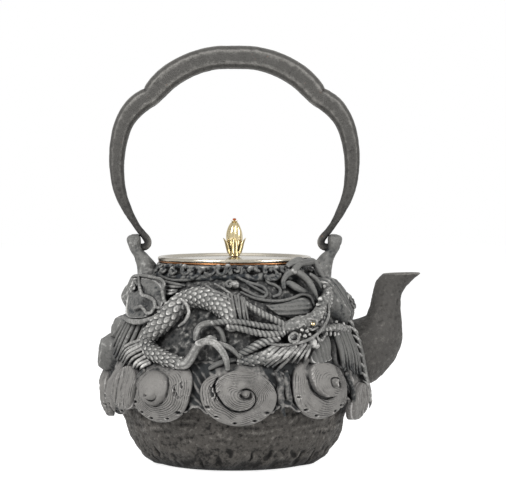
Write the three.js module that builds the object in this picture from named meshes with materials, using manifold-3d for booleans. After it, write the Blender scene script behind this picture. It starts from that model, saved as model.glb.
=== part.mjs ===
// A cast iron kettle with a dragon and waves in high relief, a swinging handle and a lift-off lid.
// Millimetres, +Z up. The origin is the centre of the flat foot. The spout points along +X and the
// dragon's head is on the front, which faces -Y. Angles on the body are in degrees from the front,
// growing towards the spout.
import * as THREE from "three";
import { mergeVertices } from "three/addons/utils/BufferGeometryUtils.js";
import Module from "manifold-3d";

const wasm = await Module();
wasm.setup();

const FIT = 0.3; // clearance left between pieces that touch
const BED = 0.6; // the same under relief, whose flat facets cut the corner on the round wall

// Kettle body
const FOOT_RADIUS = 44;
const MOUTH_RADIUS = 39.2;
const MOUTH_LIP = 4.3;
const MOUTH_HEIGHT = 111;
const MOUTH_DEPTH = 5;
const WALL = 3.4;
const FLOOR = 4;
const BODY_SIDES = 32;
// Radius and height of the wall between the foot and the mouth.
const BODY_OUTLINE = [
  [49.5, 1.7],
  [55, 7],
  [58.4, 14],
  [61.8, 24],
  [64.4, 36],
  [65.6, 50],
  [64.6, 65],
  [62.2, 77],
  [58.8, 87],
  [54.4, 95.5],
  [49, 103],
  [45.4, 107.5],
];

// Curling border of cloud round the mouth, in a front and a back length
const BORDER_REACH = 60; // degrees to each side of the middle of a length
const BORDER_DROP = 5.4; // depth of its middle below the mouth
const BORDER_RADIUS = 2.2;
const BORDER_KNOB_RADIUS = 3.3;
const BORDER_KNOBS = 10;

// Spout: each section runs from its upper point to its lower point, [x, z], and is this wide across.
const SPOUT_WALL = 2.5;
const SPOUT_SECTIONS = [
  { upper: [56, 80], lower: [56, 41], width: 36 },
  { upper: [67, 79], lower: [74, 42], width: 35 },
  { upper: [73.4, 81], lower: [83, 48], width: 31 },
  { upper: [75.2, 84], lower: [90.4, 57], width: 27 },
  { upper: [76.3, 87], lower: [94.2, 67.5], width: 23 },
  { upper: [77, 90.5], lower: [93.9, 77.5], width: 20 },
  { upper: [77.8, 94.5], lower: [93.1, 87], width: 18 },
  { upper: [79, 99], lower: [94.6, 94.5], width: 17 },
  { upper: [80.9, 102.4], lower: [98.9, 99.9], width: 17 },
  { upper: [82.9, 104.4], lower: [104.4, 105], width: 17.4 },
];
const SPOUT_SIDES = 14;

// Lid
const LID_LAP = 3.8; // how far the lid reaches over the rim of the mouth
const LID_RIM_HEIGHT = 3.2;
const LID_RIM_WIDTH = 2.8;
const LID_PLATE = 1.5;
const LID_CROWN = 1.2; // how much thicker the plate is at the knob
const LID_SKIRT_DEPTH = 7;
const LID_SKIRT_WALL = 1.5;
const LID_SKIRT_PLAY = 0.6;
const LID_SIDES = 32;

// Knob on the lid: heights are over the lid.
const STEM_RADIUS = 1.6;
const STEM_PLAY = 0.3;
const CALYX_RADIUS = 2.9;
const CALYX_HEIGHT = 3.4;
const BUD_START = 1.4;
// Radius and height of the bud.
const BUD_OUTLINE = [
  [2.2, BUD_START],
  [2.7, 3.4],
  [3.8, 6.4],
  [4.5, 10],
  [4.3, 13.4],
  [3.4, 16.4],
  [2.2, 18.6],
  [1.2, 19.6],
];
const BUD_LOBES = 5;
const BUD_LOBE_DEPTH = 0.08; // as a share of the bud's radius
const BUD_SIDES = 10;
const SEPALS = 5;
const SEPAL_SIDES = 5;
// Gap to the bud, height, thickness and width of a sepal, from its root to its tip.
const SEPAL_LINE = [
  [0.1, 2, 0.9, 2.2],
  [0.2, 6, 1.1, 3.4],
  [1.2, 10.4, 0.4, 0.8],
];
const FINIAL_RADIUS = 0.95;
const FINIAL_HEIGHT = 1.5;
const WASHER_RADIUS = 4.6;
const WASHER_HEIGHT = 1;
const RIVET_HEAD_RADIUS = 3;
const RIVET_HEAD_HEIGHT = 1.4;

// Ears that carry the handle, on a hinge line above the mouth
const HINGE_RISE = 8.5;
const HOOK_RADIUS = 2.1;
const HOOK_PLAY = 0.4;
const EAR_REACH = 12.2; // from the lid's edge to the ear's middle at the hinge line
// Each section's middle, out from that and up from the hinge line, its thickness in X and width in Y.
const EAR_SECTIONS = [
  { out: -8.2, up: -25.5, thick: 15, wide: 22 },
  { out: -7.6, up: -17.5, thick: 14, wide: 20 },
  { out: -6.4, up: -11, thick: 11.4, wide: 17 },
  { out: -3.8, up: -5.5, thick: 8.4, wide: 13 },
  { out: 0, up: -1, thick: 6.2, wide: 10.6 },
  { out: 1, up: 2.5, thick: 6.2, wide: 10.4 },
  { out: 0.8, up: 5.5, thick: 5, wide: 8 },
  { out: 0.3, up: 7.1, thick: 2.4, wide: 4 },
];
const EAR_SIDES = 10;

// Handle: sections out from the ear's middle and up from the hinge line, thickness in the plane of
// the bow and depth in Y. The bow is two leaves that meet at a notch on each side of the grip.
const BOW_HEIGHT = 106.5;
const BOW_THICK = 12.8;
const BOW_DEPTH = 15;
const BOW_SECTIONS = [
  { out: -44.2, up: 105.7, thick: 12.9, deep: 15 },
  { out: -34.2, up: 103.3, thick: 13, deep: 15 },
  { out: -25.2, up: 99.3, thick: 13.2, deep: 15 },
  { out: -17.2, up: 93.9, thick: 13.2, deep: 15 },
  { out: -11.4, up: 88, thick: 12.6, deep: 15 },
  { out: -8.4, up: 84.3, thick: 11.2, deep: 15 },
  { out: -4.8, up: 82.3, thick: 11.6, deep: 15 },
  { out: 0.6, up: 78.1, thick: 11.6, deep: 14.4 },
  { out: 6.4, up: 69.7, thick: 10.3, deep: 13.4 },
  { out: 9.9, up: 57, thick: 9.2, deep: 12.2 },
  { out: 10.6, up: 43.5, thick: 8, deep: 11 },
  { out: 8.8, up: 31, thick: 6.8, deep: 9.4 },
  { out: 4.8, up: 21, thick: 5.2, deep: 7.4 },
  { out: -0.6, up: 11.6, thick: 3.7, deep: 5.2 },
];
const BOW_SIDES = 8;
const BOW_SQUARENESS = 0.6; // 1 is an ellipse and 0 a box
const HOOK_BEND = 2.7; // radius of the elbow's middle line
const HOOK_BEND_IN = 4; // from the ear's middle in to the end of the elbow
const HOOK_END = 6.2; // from the ear's middle out to the hook's end

// Skirt of waves, standing off the wall at its lower edge
const WAVE_TOP = 60;
const WAVE_SEAT = 48; // the skirt lies on the wall above this height
const WAVE_CUSP = 37; // height of its lower edge between two scrolls
const WAVE_DROP = 4; // how much lower it hangs behind the middle of a scroll
const WAVE_EDGE = 3.2; // thickness at the lower edge
const WAVE_SIDES = 48;
// Radius and height of its outer face.
const WAVE_OUTLINE = [
  [71.6, 26],
  [73, 31],
  [74.2, 37],
  [74, 44],
  [71.8, 52],
  [68, WAVE_TOP],
];

// Scrolls of the waves: angle and height of each one's middle, half width, half height, where its
// whorl lies in it, its sense of turn, and how high the whorl stands over the rim.
const SCROLL_RIM = 1.8;
const SCROLL_STEP = 1.3;
const SCROLL_TURNS = 3;
const SCROLL_STEPS = 12;
const SCROLL_BED = 0.9; // gap between the skirt's smooth face and the scroll's back
const SCROLLS = [
  { at: -33.5, height: 43.6, wide: 19, tall: 15.4, whorl: [-7, -0.7], turn: 1, cone: 5 },
  { at: 2.6, height: 42.6, wide: 20.4, tall: 15, whorl: [4.2, 2.3], turn: -1, cone: 3 },
  { at: 41.4, height: 45.2, wide: 19.6, tall: 15.8, whorl: [8, 4], turn: -1, cone: 3.8 },
  { at: 71, height: 35.5, wide: 12.6, tall: 10.4, whorl: [2, 1], turn: 1, cone: 2.4 },
  { at: 106, height: 35.5, wide: 12.6, tall: 10.4, whorl: [-2, 1], turn: -1, cone: 2.4 },
  { at: 139, height: 44.6, wide: 18.2, tall: 15.4, whorl: [-5, 2], turn: 1, cone: 3.4 },
  { at: 177, height: 42.6, wide: 19.6, tall: 15, whorl: [-3, 1.6], turn: 1, cone: 3 },
  { at: 214, height: 43.6, wide: 18, tall: 15.2, whorl: [4.5, 2], turn: -1, cone: 4.4 },
  { at: 246, height: 40.4, wide: 14, tall: 14, whorl: [2, 0], turn: 1, cone: 3 },
  { at: 270, height: 36.6, wide: 12.6, tall: 13.4, whorl: [-1, -2], turn: -1, cone: 3 },
  { at: 297.5, height: 42.6, wide: 15.4, tall: 14.4, whorl: [-3, 1], turn: 1, cone: 2.6 },
];

// Relief drawn on an elevation. A strand's points are [x, z, height of its middle over the wall,
// radius]; a plate's rim points are [x, z].
const FRONT = 0;
const BACK = 180;
const ARCH = [
  [-28.5, 94, 2, 4.6],
  [-21, 98, 2.6, 5],
  [-12.5, 98.6, 3, 5.2],
  [-4.5, 94.4, 3, 5.2],
  [0, 88, 2.4, 5],
  [2.4, 82.5, 1.4, 4.4],
];
const FORELEG = [
  [-26.5, 91.6, 3.4, 5],
  [-32.4, 88.6, 4.6, 6.2],
  [-40, 83, 4.8, 6.4],
  [-47, 75.4, 4.4, 5.6],
  [-48.6, 68.4, 4, 4.6],
  [-43.6, 63.2, 4, 4.4],
  [-35.4, 60.4, 4, 4.2],
  [-28.4, 58.6, 4, 3.6],
];
const WRIST = [
  [-29, 57.6, 4.4, 3.2],
  [-24, 60, 4.8, 3.4],
  [-20.6, 66, 5.2, 3],
  [-18, 71, 5.4, 2.6],
];
const TALONS = [
  [[-18.6, 71.2, 6, 2.2], [-11.4, 73, 7.2, 2.1], [-6, 68, 7.4, 1.9], [-3.6, 62.6, 6.4, 1.6], [-3, 57.6, 5, 1]],
  [[-17.4, 71.6, 5, 2], [-6, 71.8, 5, 1.7], [0, 68.6, 4.6, 1.5], [3.6, 63.6, 3.4, 0.9]],
  [[-19.6, 73, 4.4, 2], [-18.6, 78.6, 4.6, 2], [-12.4, 82, 4.4, 1.9], [-8, 79, 3.8, 1.6], [-6, 73.6, 3, 0.9]],
  [[-12.6, 57.8, 3, 1], [-5.6, 60.6, 3, 1.7], [0, 63.6, 3.6, 1.7], [1.6, 67, 4.6, 1.5]],
];
const UPPER_HORN = [
  [31, 79.4, 4.6, 2.4],
  [21, 84.8, 4.6, 2.3],
  [12, 89.6, 4, 2.1],
  [3.6, 94.6, 3, 1.4],
];
const LOWER_HORN = [
  [29, 75.6, 4.2, 2.3],
  [18, 77.4, 4.6, 2.3],
  [8, 79.4, 5, 2.2],
  [-2, 81.2, 5.4, 1.9],
  [-10, 82.6, 6, 1.3],
];
const SKULL = [
  [27, 78, 3, 2.8],
  [33, 78.8, 5, 4.6],
  [39, 80.4, 6.4, 5.2],
  [44.4, 83.8, 6, 4],
  [48.6, 89.4, 5, 3.2],
  [50.6, 95.4, 4.6, 3.4],
  [51, 98.6, 3.6, 2],
];
const LOWER_JAW = [
  [38, 75.6, 5, 3.4],
  [47, 76.6, 5, 2.8],
  [55, 76.8, 4.6, 2.2],
  [60.4, 75.4, 3.6, 1.4],
];
const CHEEK = [32.4, 74.2, 7];
const CHEEK_RADIUS = 3.4;
const THROAT = [
  [39, 77, 4.8, 3],
  [41.4, 72.6, 4.6, 2.6],
  [43.6, 69, 4, 2.7],
];
const EYE = [42.4, 81.2, 11.2];
const EYE_RADIUS = 1.3;
const WHISKER = [
  [52.6, 84, 8.4, 1],
  [49, 78.4, 9.6, 1.3],
  [43, 73.4, 9, 1.3],
  [34, 70.4, 6.6, 1.2],
  [24, 70.6, 4.4, 1.1],
  [14, 72.6, 2.6, 0.8],
];
// A fall of strands: its top and bottom lines as two [angle, z] ends by rising angle, how far it
// stands off the wall at the top and at the bottom, the height of its ridges and their number.
const BEARD = {
  top: [[21, 70.6], [36, 68.6]],
  bottom: [[11, 60.6], [33, 55]],
  proud: [4, 1.6],
  ridge: 1.8,
  count: 5,
};
const NECK = [
  [2.4, 63.6, 2, 3],
  [8, 66.4, 2.6, 3.6],
  [15, 69.2, 3, 3.8],
  [22.6, 72.4, 3, 3.2],
];
const MANE = {
  top: [[-2, 96], [9, 95]],
  bottom: [[0, 80.6], [10.6, 82]],
  proud: [7, 5.4],
  ridge: 1.3,
  count: 3,
};
const UPPER_CLAW = [
  [[26.4, 103.6, 2, 1.4], [29.4, 107.6, 3, 2], [35, 109.4, 4, 2.2], [41, 105.4, 4.6, 2.2], [45.6, 97, 4, 1.2]],
  [[30, 108.6, 3, 1.4], [36.6, 112.6, 4.6, 2.2], [44.4, 109.6, 5.4, 2.2], [48.8, 101.6, 4.4, 1.2]],
  [[26.4, 103.6, 2, 1.6], [31, 101.6, 1.6, 2], [36, 100.4, 1.8, 1.8], [39.6, 99.2, 1.4, 1]],
];
const CLOUD_LEAF = [
  [16.6, 92],
  [26, 94.4],
  [37, 93.4],
  [43, 88.4],
  [38, 85],
  [28, 86],
  [20.6, 89],
];
const RIBBONS = [
  [[-38, 103, 1.2, 1], [-31, 102, 1.2, 1.2], [-24, 102.6, 1.2, 1.2], [-16, 104, 1, 1.2]],
  [[-3, 104.6, 0.9, 1], [5, 102, 0.9, 1.2], [14, 99.8, 0.9, 1.2], [17.6, 96.6, 0.9, 1]],
  [[11, 104.2, 0.9, 1], [17, 103, 0.9, 1.2], [20.4, 99.4, 0.9, 1.2], [25, 97.6, 0.9, 1.2]],
];
const SHIELD_THICK = 6;
const SHIELD = [
  [-56.5, 101.6],
  [-48, 101.8],
  [-41.6, 98.6],
  [-39.6, 91.6],
  [-43.6, 86.6],
  [-51, 84],
  [-58, 84.4],
  [-59, 93],
];
const SHIELD_LIP = [
  [-58.4, 84.2, 6.6, 1.4],
  [-50.6, 83.4, 6.8, 1.6],
  [-43.4, 86, 6.4, 1.4],
];
const SHIELD_RIBBON = [
  [-52, 99.6, 7.2, 1],
  [-50.4, 94.4, 7.8, 1.2],
  [-44.6, 91.6, 7.6, 1.2],
  [-46.6, 88, 7.6, 1.2],
  [-53.4, 88.6, 7.4, 1],
];
const SIDE_PLATE_THICK = 6.6;
const SIDE_PLATE = [
  [70, 103],
  [81, 99],
  [87, 90],
  [85, 81.5],
  [76, 80.6],
  [67, 84],
  [64, 93.6],
];
// Angle, height and thickness of the flower on the side plate.
const FLOWER = [79, 93, SIDE_PLATE_THICK + 2.4];
const FLOWER_RADIUS = 3.8;
const PETALS = 5;
const HAIR = {
  top: [[-60, 82.6], [-41, 83]],
  bottom: [[-77, 64], [-54, 61]],
  proud: [2.2, 2.6],
  ridge: 1.8,
  count: 5,
};
const FIN = {
  top: [[-53, 72], [-40, 60.6]],
  bottom: [[-72, 66], [-50, 52]],
  proud: [4, 4.4],
  ridge: 1.8,
  count: 3,
};
// Leaves that hang beside the spout's far side, by angle round the body and height.
const LEAVES = [
  { rim: [[-74, 86], [-68, 80], [-75, 73.4], [-83, 71], [-86, 78], [-81, 85]], thick: 4.4, crown: 2.6 },
  { rim: [[-76, 71], [-72, 66], [-77, 58], [-84, 53], [-88, 58], [-85, 66]], thick: 7.4, crown: 3.6 },
];
const WATERFALL = {
  top: [[45, 73], [63, 72.6]],
  bottom: [[43, 58], [66, 56]],
  proud: [3, 7],
  ridge: 1.6,
  count: 5,
};
// Fronds along the spout's root, by angle round the body.
const FROND = [
  [67.6, 76.4, 2.6, 2],
  [66.6, 66, 3, 2.6],
  [68, 56, 7, 2.8],
  [72.6, 44, 10.6, 2.2],
];
const FROND_TEETH = 7;
const FROND_WAIST = 0.6; // radius between two teeth, as a share of the radius at a tooth
const TAIL = [
  [-44, 88, 2.4, 5.6],
  [-34, 97, 3, 5.8],
  [-21, 98, 3, 5.6],
  [-11, 90, 3, 5.4],
  [-6, 79, 3, 5],
  [3, 69.6, 3, 4.6],
  [16, 67.4, 3, 4.2],
  [27, 73, 3, 3.6],
  [32, 83, 3, 3],
  [40, 90, 2.6, 2.2],
];
const TAIL_FIN = [
  [[39, 89.6, 2.4, 1.8], [45.6, 93.6, 2.6, 1.6], [51, 94, 2, 0.8]],
  [[39, 89.6, 2.4, 1.8], [46, 88.6, 2.6, 1.6], [52, 86, 2, 0.8]],
  [[39, 89.6, 2.4, 1.8], [41.6, 96, 2.6, 1.6], [41, 100.6, 2, 0.8]],
];
const BACK_LEG = [
  [-2, 84, 3, 3.6],
  [8, 87, 3.4, 3.4],
  [15, 83.6, 4, 2.8],
];
const BACK_TALONS = [
  [[14, 84, 4.4, 2], [21, 86.4, 5, 1.8], [25.6, 81.6, 3.6, 0.9]],
  [[14, 84, 4.4, 2], [18.6, 91, 5, 1.8], [25, 91.6, 3.6, 0.9]],
  [[14, 83.4, 4.4, 2], [13.6, 91, 5, 1.8], [17.6, 96.4, 3.6, 0.9]],
];
const BACK_RIBBONS = [
  [[-8, 100, 0.9, 1.2], [4, 103, 0.9, 1.3], [16, 101, 0.9, 1.3], [30, 103, 0.9, 1.1]],
  [[-54, 76, 0.9, 1.2], [-44, 71, 0.9, 1.3], [-34, 74.6, 0.9, 1.3], [-22, 70, 0.9, 1.1]],
];

const DEGREE = Math.PI / 180;

// A solid from points and faces, turned outwards if the faces point in.
function solidFrom(points, faces) {
  const vertProperties = new Float32Array(points.flatMap((p) => [p.x, p.y, p.z]));
  const make = (triangles) => {
    const triVerts = new Uint32Array(triangles.flat());
    return new wasm.Manifold(new wasm.Mesh({ numProp: 3, vertProperties, triVerts }));
  };
  const made = make(faces);
  return made.volume() < 0 ? make(faces.map(([a, b, c]) => [a, c, b])) : made;
}

// A solid from a closed three.js geometry.
function solid(geometry) {
  const bare = geometry.clone();
  bare.deleteAttribute("normal");
  bare.deleteAttribute("uv");
  const merged = mergeVertices(bare, 1e-4);
  const place = merged.getAttribute("position");
  const point = (i) => new THREE.Vector3().fromBufferAttribute(place, i);
  const points = Array.from({ length: place.count }, (_, i) => point(i));
  const index = Array.from(merged.index.array);
  const faces = [];
  for (let i = 0; i < index.length; i += 3) {
    const face = index.slice(i, i + 3);
    if (new Set(face).size === 3) faces.push(face);
  }
  return solidFrom(points, faces);
}

// A solid of revolution about Z from [radius, height] points.
function revolve(profile, sides) {
  const lathe = new THREE.LatheGeometry(profile.map(([r, z]) => new THREE.Vector2(r, z)), sides);
  return solid(lathe.rotateX(Math.PI / 2));
}

// A ball whose underside is flattened where it would sink into the wall.
function ball(radius, at, grow) {
  const sphere = new THREE.SphereGeometry(radius + grow, 8, 5).translate(at.x, at.y, at.z);
  const place = sphere.getAttribute("position");
  for (let i = 0; i < place.count; i++) {
    const point = offWall(new THREE.Vector3().fromBufferAttribute(place, i), grow);
    place.setXYZ(i, point.x, point.y, point.z);
  }
  return solid(sphere);
}

// Faces that join rings of equally many points, each ring to the next.
function skinFaces(ringCount, count, closed) {
  const faces = [];
  for (let i = 0; i < (closed ? ringCount : ringCount - 1); i++) {
    const near = i * count;
    const far = ((i + 1) % ringCount) * count;
    for (let j = 0; j < count; j++) {
      const next = (j + 1) % count;
      faces.push([near + j, near + next, far + next], [near + j, far + next, far + j]);
    }
  }
  return faces;
}

// A closed solid through rings of equally many points, its two ends closed by fans.
function loft(rings) {
  const count = rings[0].length;
  const middle = (ring) => ring.reduce((sum, p) => sum.add(p), new THREE.Vector3()).divideScalar(count);
  const points = [...rings.flat(), middle(rings[0]), middle(rings.at(-1))];
  const start = points.length - 2;
  const end = points.length - 1;
  const last = (rings.length - 1) * count;
  const faces = skinFaces(rings.length, count, false);
  for (let j = 0; j < count; j++) {
    const next = (j + 1) % count;
    faces.push([start, next, j], [end, last + j, last + next]);
  }
  return solidFrom(points, faces);
}

// The same through rings that come round to the first again.
const loopLoft = (rings) => solidFrom(rings.flat(), skinFaces(rings.length, rings[0].length, true));

// The solid's largest body: a cut can leave crumbs beside the piece itself.
function mainBody(piece) {
  const bodies = piece.decompose();
  return bodies.reduce((best, body) => (body.volume() > best.volume() ? body : best), bodies[0]);
}

const fuse = (pieces) => pieces.reduce((sum, piece) => sum.add(piece));

// Points evenly along a smooth line through [radius, height] points, and its radius at a height.
const smoothOutline = (outline, samples) =>
  new THREE.SplineCurve(outline.map(([r, z]) => new THREE.Vector2(r, z))).getPoints(samples);

function radiusAt(points, z) {
  const above = points.findIndex((p) => p.y >= z);
  if (above === 0) return points[0].x;
  if (above < 0) return points.at(-1).x;
  const low = points[above - 1];
  const high = points[above];
  return low.x + ((high.x - low.x) * (z - low.y)) / (high.y - low.y);
}

const LID_RADIUS = MOUTH_RADIUS + LID_LAP;
const LID_SEAT = MOUTH_HEIGHT + FIT;
const KNOB_SEAT = LID_SEAT + LID_PLATE + LID_CROWN + FIT;
const STEM_TOP = KNOB_SEAT + BUD_OUTLINE[3][1]; // at the bud's widest
const EAR_MIDDLE = LID_RADIUS + EAR_REACH;
const HINGE_HEIGHT = MOUTH_HEIGHT + HINGE_RISE;
const mouthCorner = [MOUTH_RADIUS + MOUTH_LIP, MOUTH_HEIGHT - 1];
const wallLine = smoothOutline([[FOOT_RADIUS, 0], ...BODY_OUTLINE, mouthCorner], 11);
const waveLine = smoothOutline(WAVE_OUTLINE, 10);

// A line of points moved along its own normal, to the left of its run.
function offsetLine(line, distance) {
  return line.map((p, i) => {
    const before = line[Math.max(i - 1, 0)];
    const after = line[Math.min(i + 1, line.length - 1)];
    const length = Math.hypot(after.x - before.x, after.y - before.y);
    const share = distance / length;
    return new THREE.Vector2(p.x - share * (after.y - before.y), p.y + share * (after.x - before.x));
  });
}

// A point this far out from the body's wall, at an angle round it.
function onWall(angle, z, proud) {
  const step = 2;
  const run = radiusAt(wallLine, z + step) - radiusAt(wallLine, z - step);
  const length = Math.hypot(run, 2 * step);
  const r = radiusAt(wallLine, z) + (proud * 2 * step) / length;
  const lift = (-run / length) * proud;
  return new THREE.Vector3(r * Math.sin(angle * DEGREE), -r * Math.cos(angle * DEGREE), z + lift);
}

// A point moved out, if it has to be, so that it lies on the wall's bed or above it.
function offWall(point, grow) {
  const bed = radiusAt(wallLine, point.z) + BED - grow;
  const share = Math.max(1, bed / Math.hypot(point.x, point.y));
  return new THREE.Vector3(point.x * share, point.y * share, point.z);
}

// The same as onWall for a point drawn on an elevation that looks at the angle called face.
function onElevation([x, z, proud], face) {
  const reach = Math.hypot(onWall(0, z, proud).x, onWall(0, z, proud).y);
  return onWall(face + Math.asin(THREE.MathUtils.clamp(x / reach, -1, 1)) / DEGREE, z, proud);
}

function kettleShell() {
  const inside = offsetLine(wallLine, WALL).filter((p) => {
    return p.y > FLOOR + 1 && p.y < MOUTH_HEIGHT - MOUTH_DEPTH - 1 && p.x > MOUTH_RADIUS + 1;
  });
  const floorRadius = radiusAt(wallLine, FLOOR) - WALL - 2;
  const profile = [
    [0, 0],
    ...wallLine.map((p) => [p.x, p.y]),
    [MOUTH_RADIUS + MOUTH_LIP, MOUTH_HEIGHT],
    [MOUTH_RADIUS, MOUTH_HEIGHT],
    [MOUTH_RADIUS, MOUTH_HEIGHT - MOUTH_DEPTH],
    ...inside.reverse().map((p) => [p.x, p.y]),
    [floorRadius, FLOOR],
    [0, FLOOR],
  ];
  return revolve(profile, BODY_SIDES);
}

// All the space inside the body's outer face, and a clearance round it.
function bodyEnvelope() {
  const skin = offsetLine(wallLine, -FIT).filter((p) => p.y > FIT);
  const top = MOUTH_HEIGHT + FIT;
  return revolve([[0, 0], ...skin.map((p) => [p.x, p.y]), [skin.at(-1).x, top], [0, top]], BODY_SIDES);
}

// A ring of points round a section of the spout, drawn in by an inset.
function spoutRing(section, inset) {
  const [upperX, upperZ] = section.upper;
  const [lowerX, lowerZ] = section.lower;
  const half = Math.hypot(upperX - lowerX, upperZ - lowerZ) / 2;
  return Array.from({ length: SPOUT_SIDES }, (_, i) => {
    const a = (i * 2 * Math.PI) / SPOUT_SIDES;
    const along = (Math.cos(a) * (half - inset)) / half;
    return new THREE.Vector3(
      (upperX + lowerX) / 2 + ((upperX - lowerX) / 2) * along,
      Math.sin(a) * (section.width / 2 - inset),
      (upperZ + lowerZ) / 2 + ((upperZ - lowerZ) / 2) * along,
    );
  });
}

const spoutSkin = (grow) => loft(SPOUT_SECTIONS.map((section) => spoutRing(section, -grow)));

// The bore runs from inside the kettle to just past the lip.
function spoutBore() {
  const last = SPOUT_SECTIONS.length - 1;
  const sections = SPOUT_SECTIONS.filter((_, i) => i % 2 === 0 || i === last);
  const rings = sections.map((section) => spoutRing(section, SPOUT_WALL));
  const past = rings.at(-1).map((p) => p.clone().add(new THREE.Vector3(1, 0, 2)));
  return loft([...rings, past]);
}

function earSkin(side, grow) {
  const rings = EAR_SECTIONS.map(({ out, up, thick, wide }) =>
    Array.from({ length: EAR_SIDES }, (_, i) => {
      const a = (i * 2 * Math.PI) / EAR_SIDES;
      return new THREE.Vector3(
        side * (EAR_MIDDLE + out + (thick / 2 + grow) * Math.cos(a)),
        (wide / 2 + grow) * Math.sin(a),
        HINGE_HEIGHT + up + (up > 0 ? grow : 0),
      );
    }),
  );
  return loft(rings);
}

function ear(side) {
  const radius = HOOK_RADIUS + HOOK_PLAY;
  const hole = new THREE.CylinderGeometry(radius, radius, 40, 16).rotateZ(Math.PI / 2);
  return earSkin(side, 0).subtract(solid(hole.translate(side * EAR_MIDDLE, 0, HINGE_HEIGHT)));
}

// A round strand through its points, its ends drawn in. Wrapped points give an angle in place of x.
function strand(path, { face = FRONT, sides = 8, steps = 10, grow = 0, wrapped = false } = {}) {
  const place = (p) => (wrapped ? onWall(face + p[0], p[1], p[2]) : onElevation(p, face));
  const route = new THREE.CatmullRomCurve3(path.map(place), false, "centripetal");
  const radius = (t) => {
    const i = Math.min(Math.floor(t * (path.length - 1)), path.length - 2);
    return THREE.MathUtils.lerp(path[i][3], path[i + 1][3], t * (path.length - 1) - i);
  };
  const ring = (t, share, push = 0) => {
    const along = route.getTangent(t);
    const at = route.getPoint(t).addScaledVector(along, push);
    const out = new THREE.Vector3(at.x, at.y, 0).normalize();
    const across = new THREE.Vector3().crossVectors(along, out).normalize();
    const over = new THREE.Vector3().crossVectors(across, along);
    return Array.from({ length: sides }, (_, i) => {
      const a = ((i + 0.5) * 2 * Math.PI) / sides;
      const reach = (radius(t) + grow) * share;
      const aside = at.clone().addScaledVector(across, reach * Math.cos(a));
      return offWall(aside.addScaledVector(over, reach * Math.sin(a)), grow);
    });
  };
  const rings = Array.from({ length: steps + 1 }, (_, i) => ring(i / steps, 1));
  const first = ring(0, 0.5, -0.7 * path[0][3] - grow);
  const last = ring(1, 0.5, 0.7 * path.at(-1)[3] + grow);
  return loft([first, ...rings, last]);
}

const strands = (paths, options) => fuse(paths.map((path) => strand(path, options)));

// A fall of strands side by side, from a top line to a bottom line, as one ribbed sheet.
function fall({ top, bottom, proud, ridge, count }, grow) {
  const levels = [0, 0.35, 0.7, 1];
  const rings = levels.map((level) => {
    const lift = THREE.MathUtils.lerp(proud[0], proud[1], level);
    const at = (share, height) => {
      const [topAngle, topZ] = top[0].map((v, k) => THREE.MathUtils.lerp(v, top[1][k], share));
      const [lowAngle, lowZ] = bottom[0].map((v, k) => THREE.MathUtils.lerp(v, bottom[1][k], share));
      const overrun = level === 0 ? grow : level === 1 ? -grow : 0;
      const aside = share === 0 ? -grow : share === 1 ? grow : 0;
      const angle = THREE.MathUtils.lerp(topAngle, lowAngle, level) + aside;
      return onWall(angle, THREE.MathUtils.lerp(topZ, lowZ, level) + overrun, height);
    };
    const crest = (i) => at(i / (2 * count), lift + 1.5 * grow + (i % 2) * ridge);
    const crests = Array.from({ length: 2 * count + 1 }, (_, i) => crest(i));
    const under = [1, 0.75, 0.5, 0.25, 0].map((share) => at(share, BED - grow));
    return [...crests, ...under];
  });
  return loft(rings);
}

// A plate on the wall inside a smooth closed rim, swelling by its crown towards the middle.
function plate(rim, { face = FRONT, thick, crown, samples = 14, grow = 0, wrapped = false }) {
  const corners = rim.map(([x, z]) => new THREE.Vector3(x, z, 0));
  const outline = new THREE.CatmullRomCurve3(corners, true, "centripetal");
  const line = outline.getSpacedPoints(samples).slice(0, samples);
  const middle = line.reduce((sum, p) => sum.add(p), new THREE.Vector3()).divideScalar(samples);
  const place = (x, z, proud) => (wrapped ? onWall(face + x, z, proud) : onElevation([x, z, proud], face));
  const ring = (share, proud) =>
    line.map((p) => {
      const reach = p.clone().sub(middle);
      reach.setLength(reach.length() * share + grow);
      return place(middle.x + reach.x, middle.y + reach.y, proud);
    });
  return loft([
    ring(0.5, BED - grow),
    ring(1, BED - grow),
    ring(1, thick * 0.6 + grow),
    ring(0.86, thick + grow),
    ring(0.5, thick + crown * 0.7 + grow),
    ring(0.15, thick + crown + grow),
  ]);
}

// How far down the skirt hangs at an angle: it follows the scroll there, and rises to a cusp beside it.
function waveHem(angle) {
  const reach = SCROLLS.map(({ at, height, wide, tall }) => {
    const away = Math.abs(((angle - at + 540) % 360) - 180);
    const share = Math.min(1, (away * DEGREE * WAVE_OUTLINE[2][0]) / wide);
    return height - (tall - WAVE_DROP) * Math.sqrt(1 - share * share);
  });
  return Math.min(WAVE_CUSP, ...reach);
}

function waveSkirt(grow) {
  const levels = [0, 0.35, 0.7, 1];
  const rings = Array.from({ length: WAVE_SIDES }, (_, i) => {
    const angle = (i * 360) / WAVE_SIDES;
    const hem = waveHem(angle) - grow;
    const at = (r, z) => new THREE.Vector3(r * Math.sin(angle * DEGREE), -r * Math.cos(angle * DEGREE), z);
    const outside = levels.map((share) => {
      const z = hem + share * (WAVE_TOP - hem);
      return at(radiusAt(waveLine, z) + grow, z + grow * share);
    });
    const hemRadius = radiusAt(waveLine, hem) - WAVE_EDGE - grow;
    const seat = (z) => radiusAt(wallLine, z) + BED;
    return [...outside, at(seat(WAVE_TOP), WAVE_TOP), at(seat(WAVE_SEAT), WAVE_SEAT), at(hemRadius, hem)];
  });
  return loopLoft(rings);
}

// A point over the waves, across and up from the middle of a scroll.
function onWave(scroll, across, up, proud) {
  const z = scroll.height + up;
  const r = radiusAt(waveLine, z) + proud;
  const angle = scroll.at * DEGREE + across / radiusAt(waveLine, scroll.height);
  return new THREE.Vector3(r * Math.sin(angle), -r * Math.cos(angle), z);
}

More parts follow.
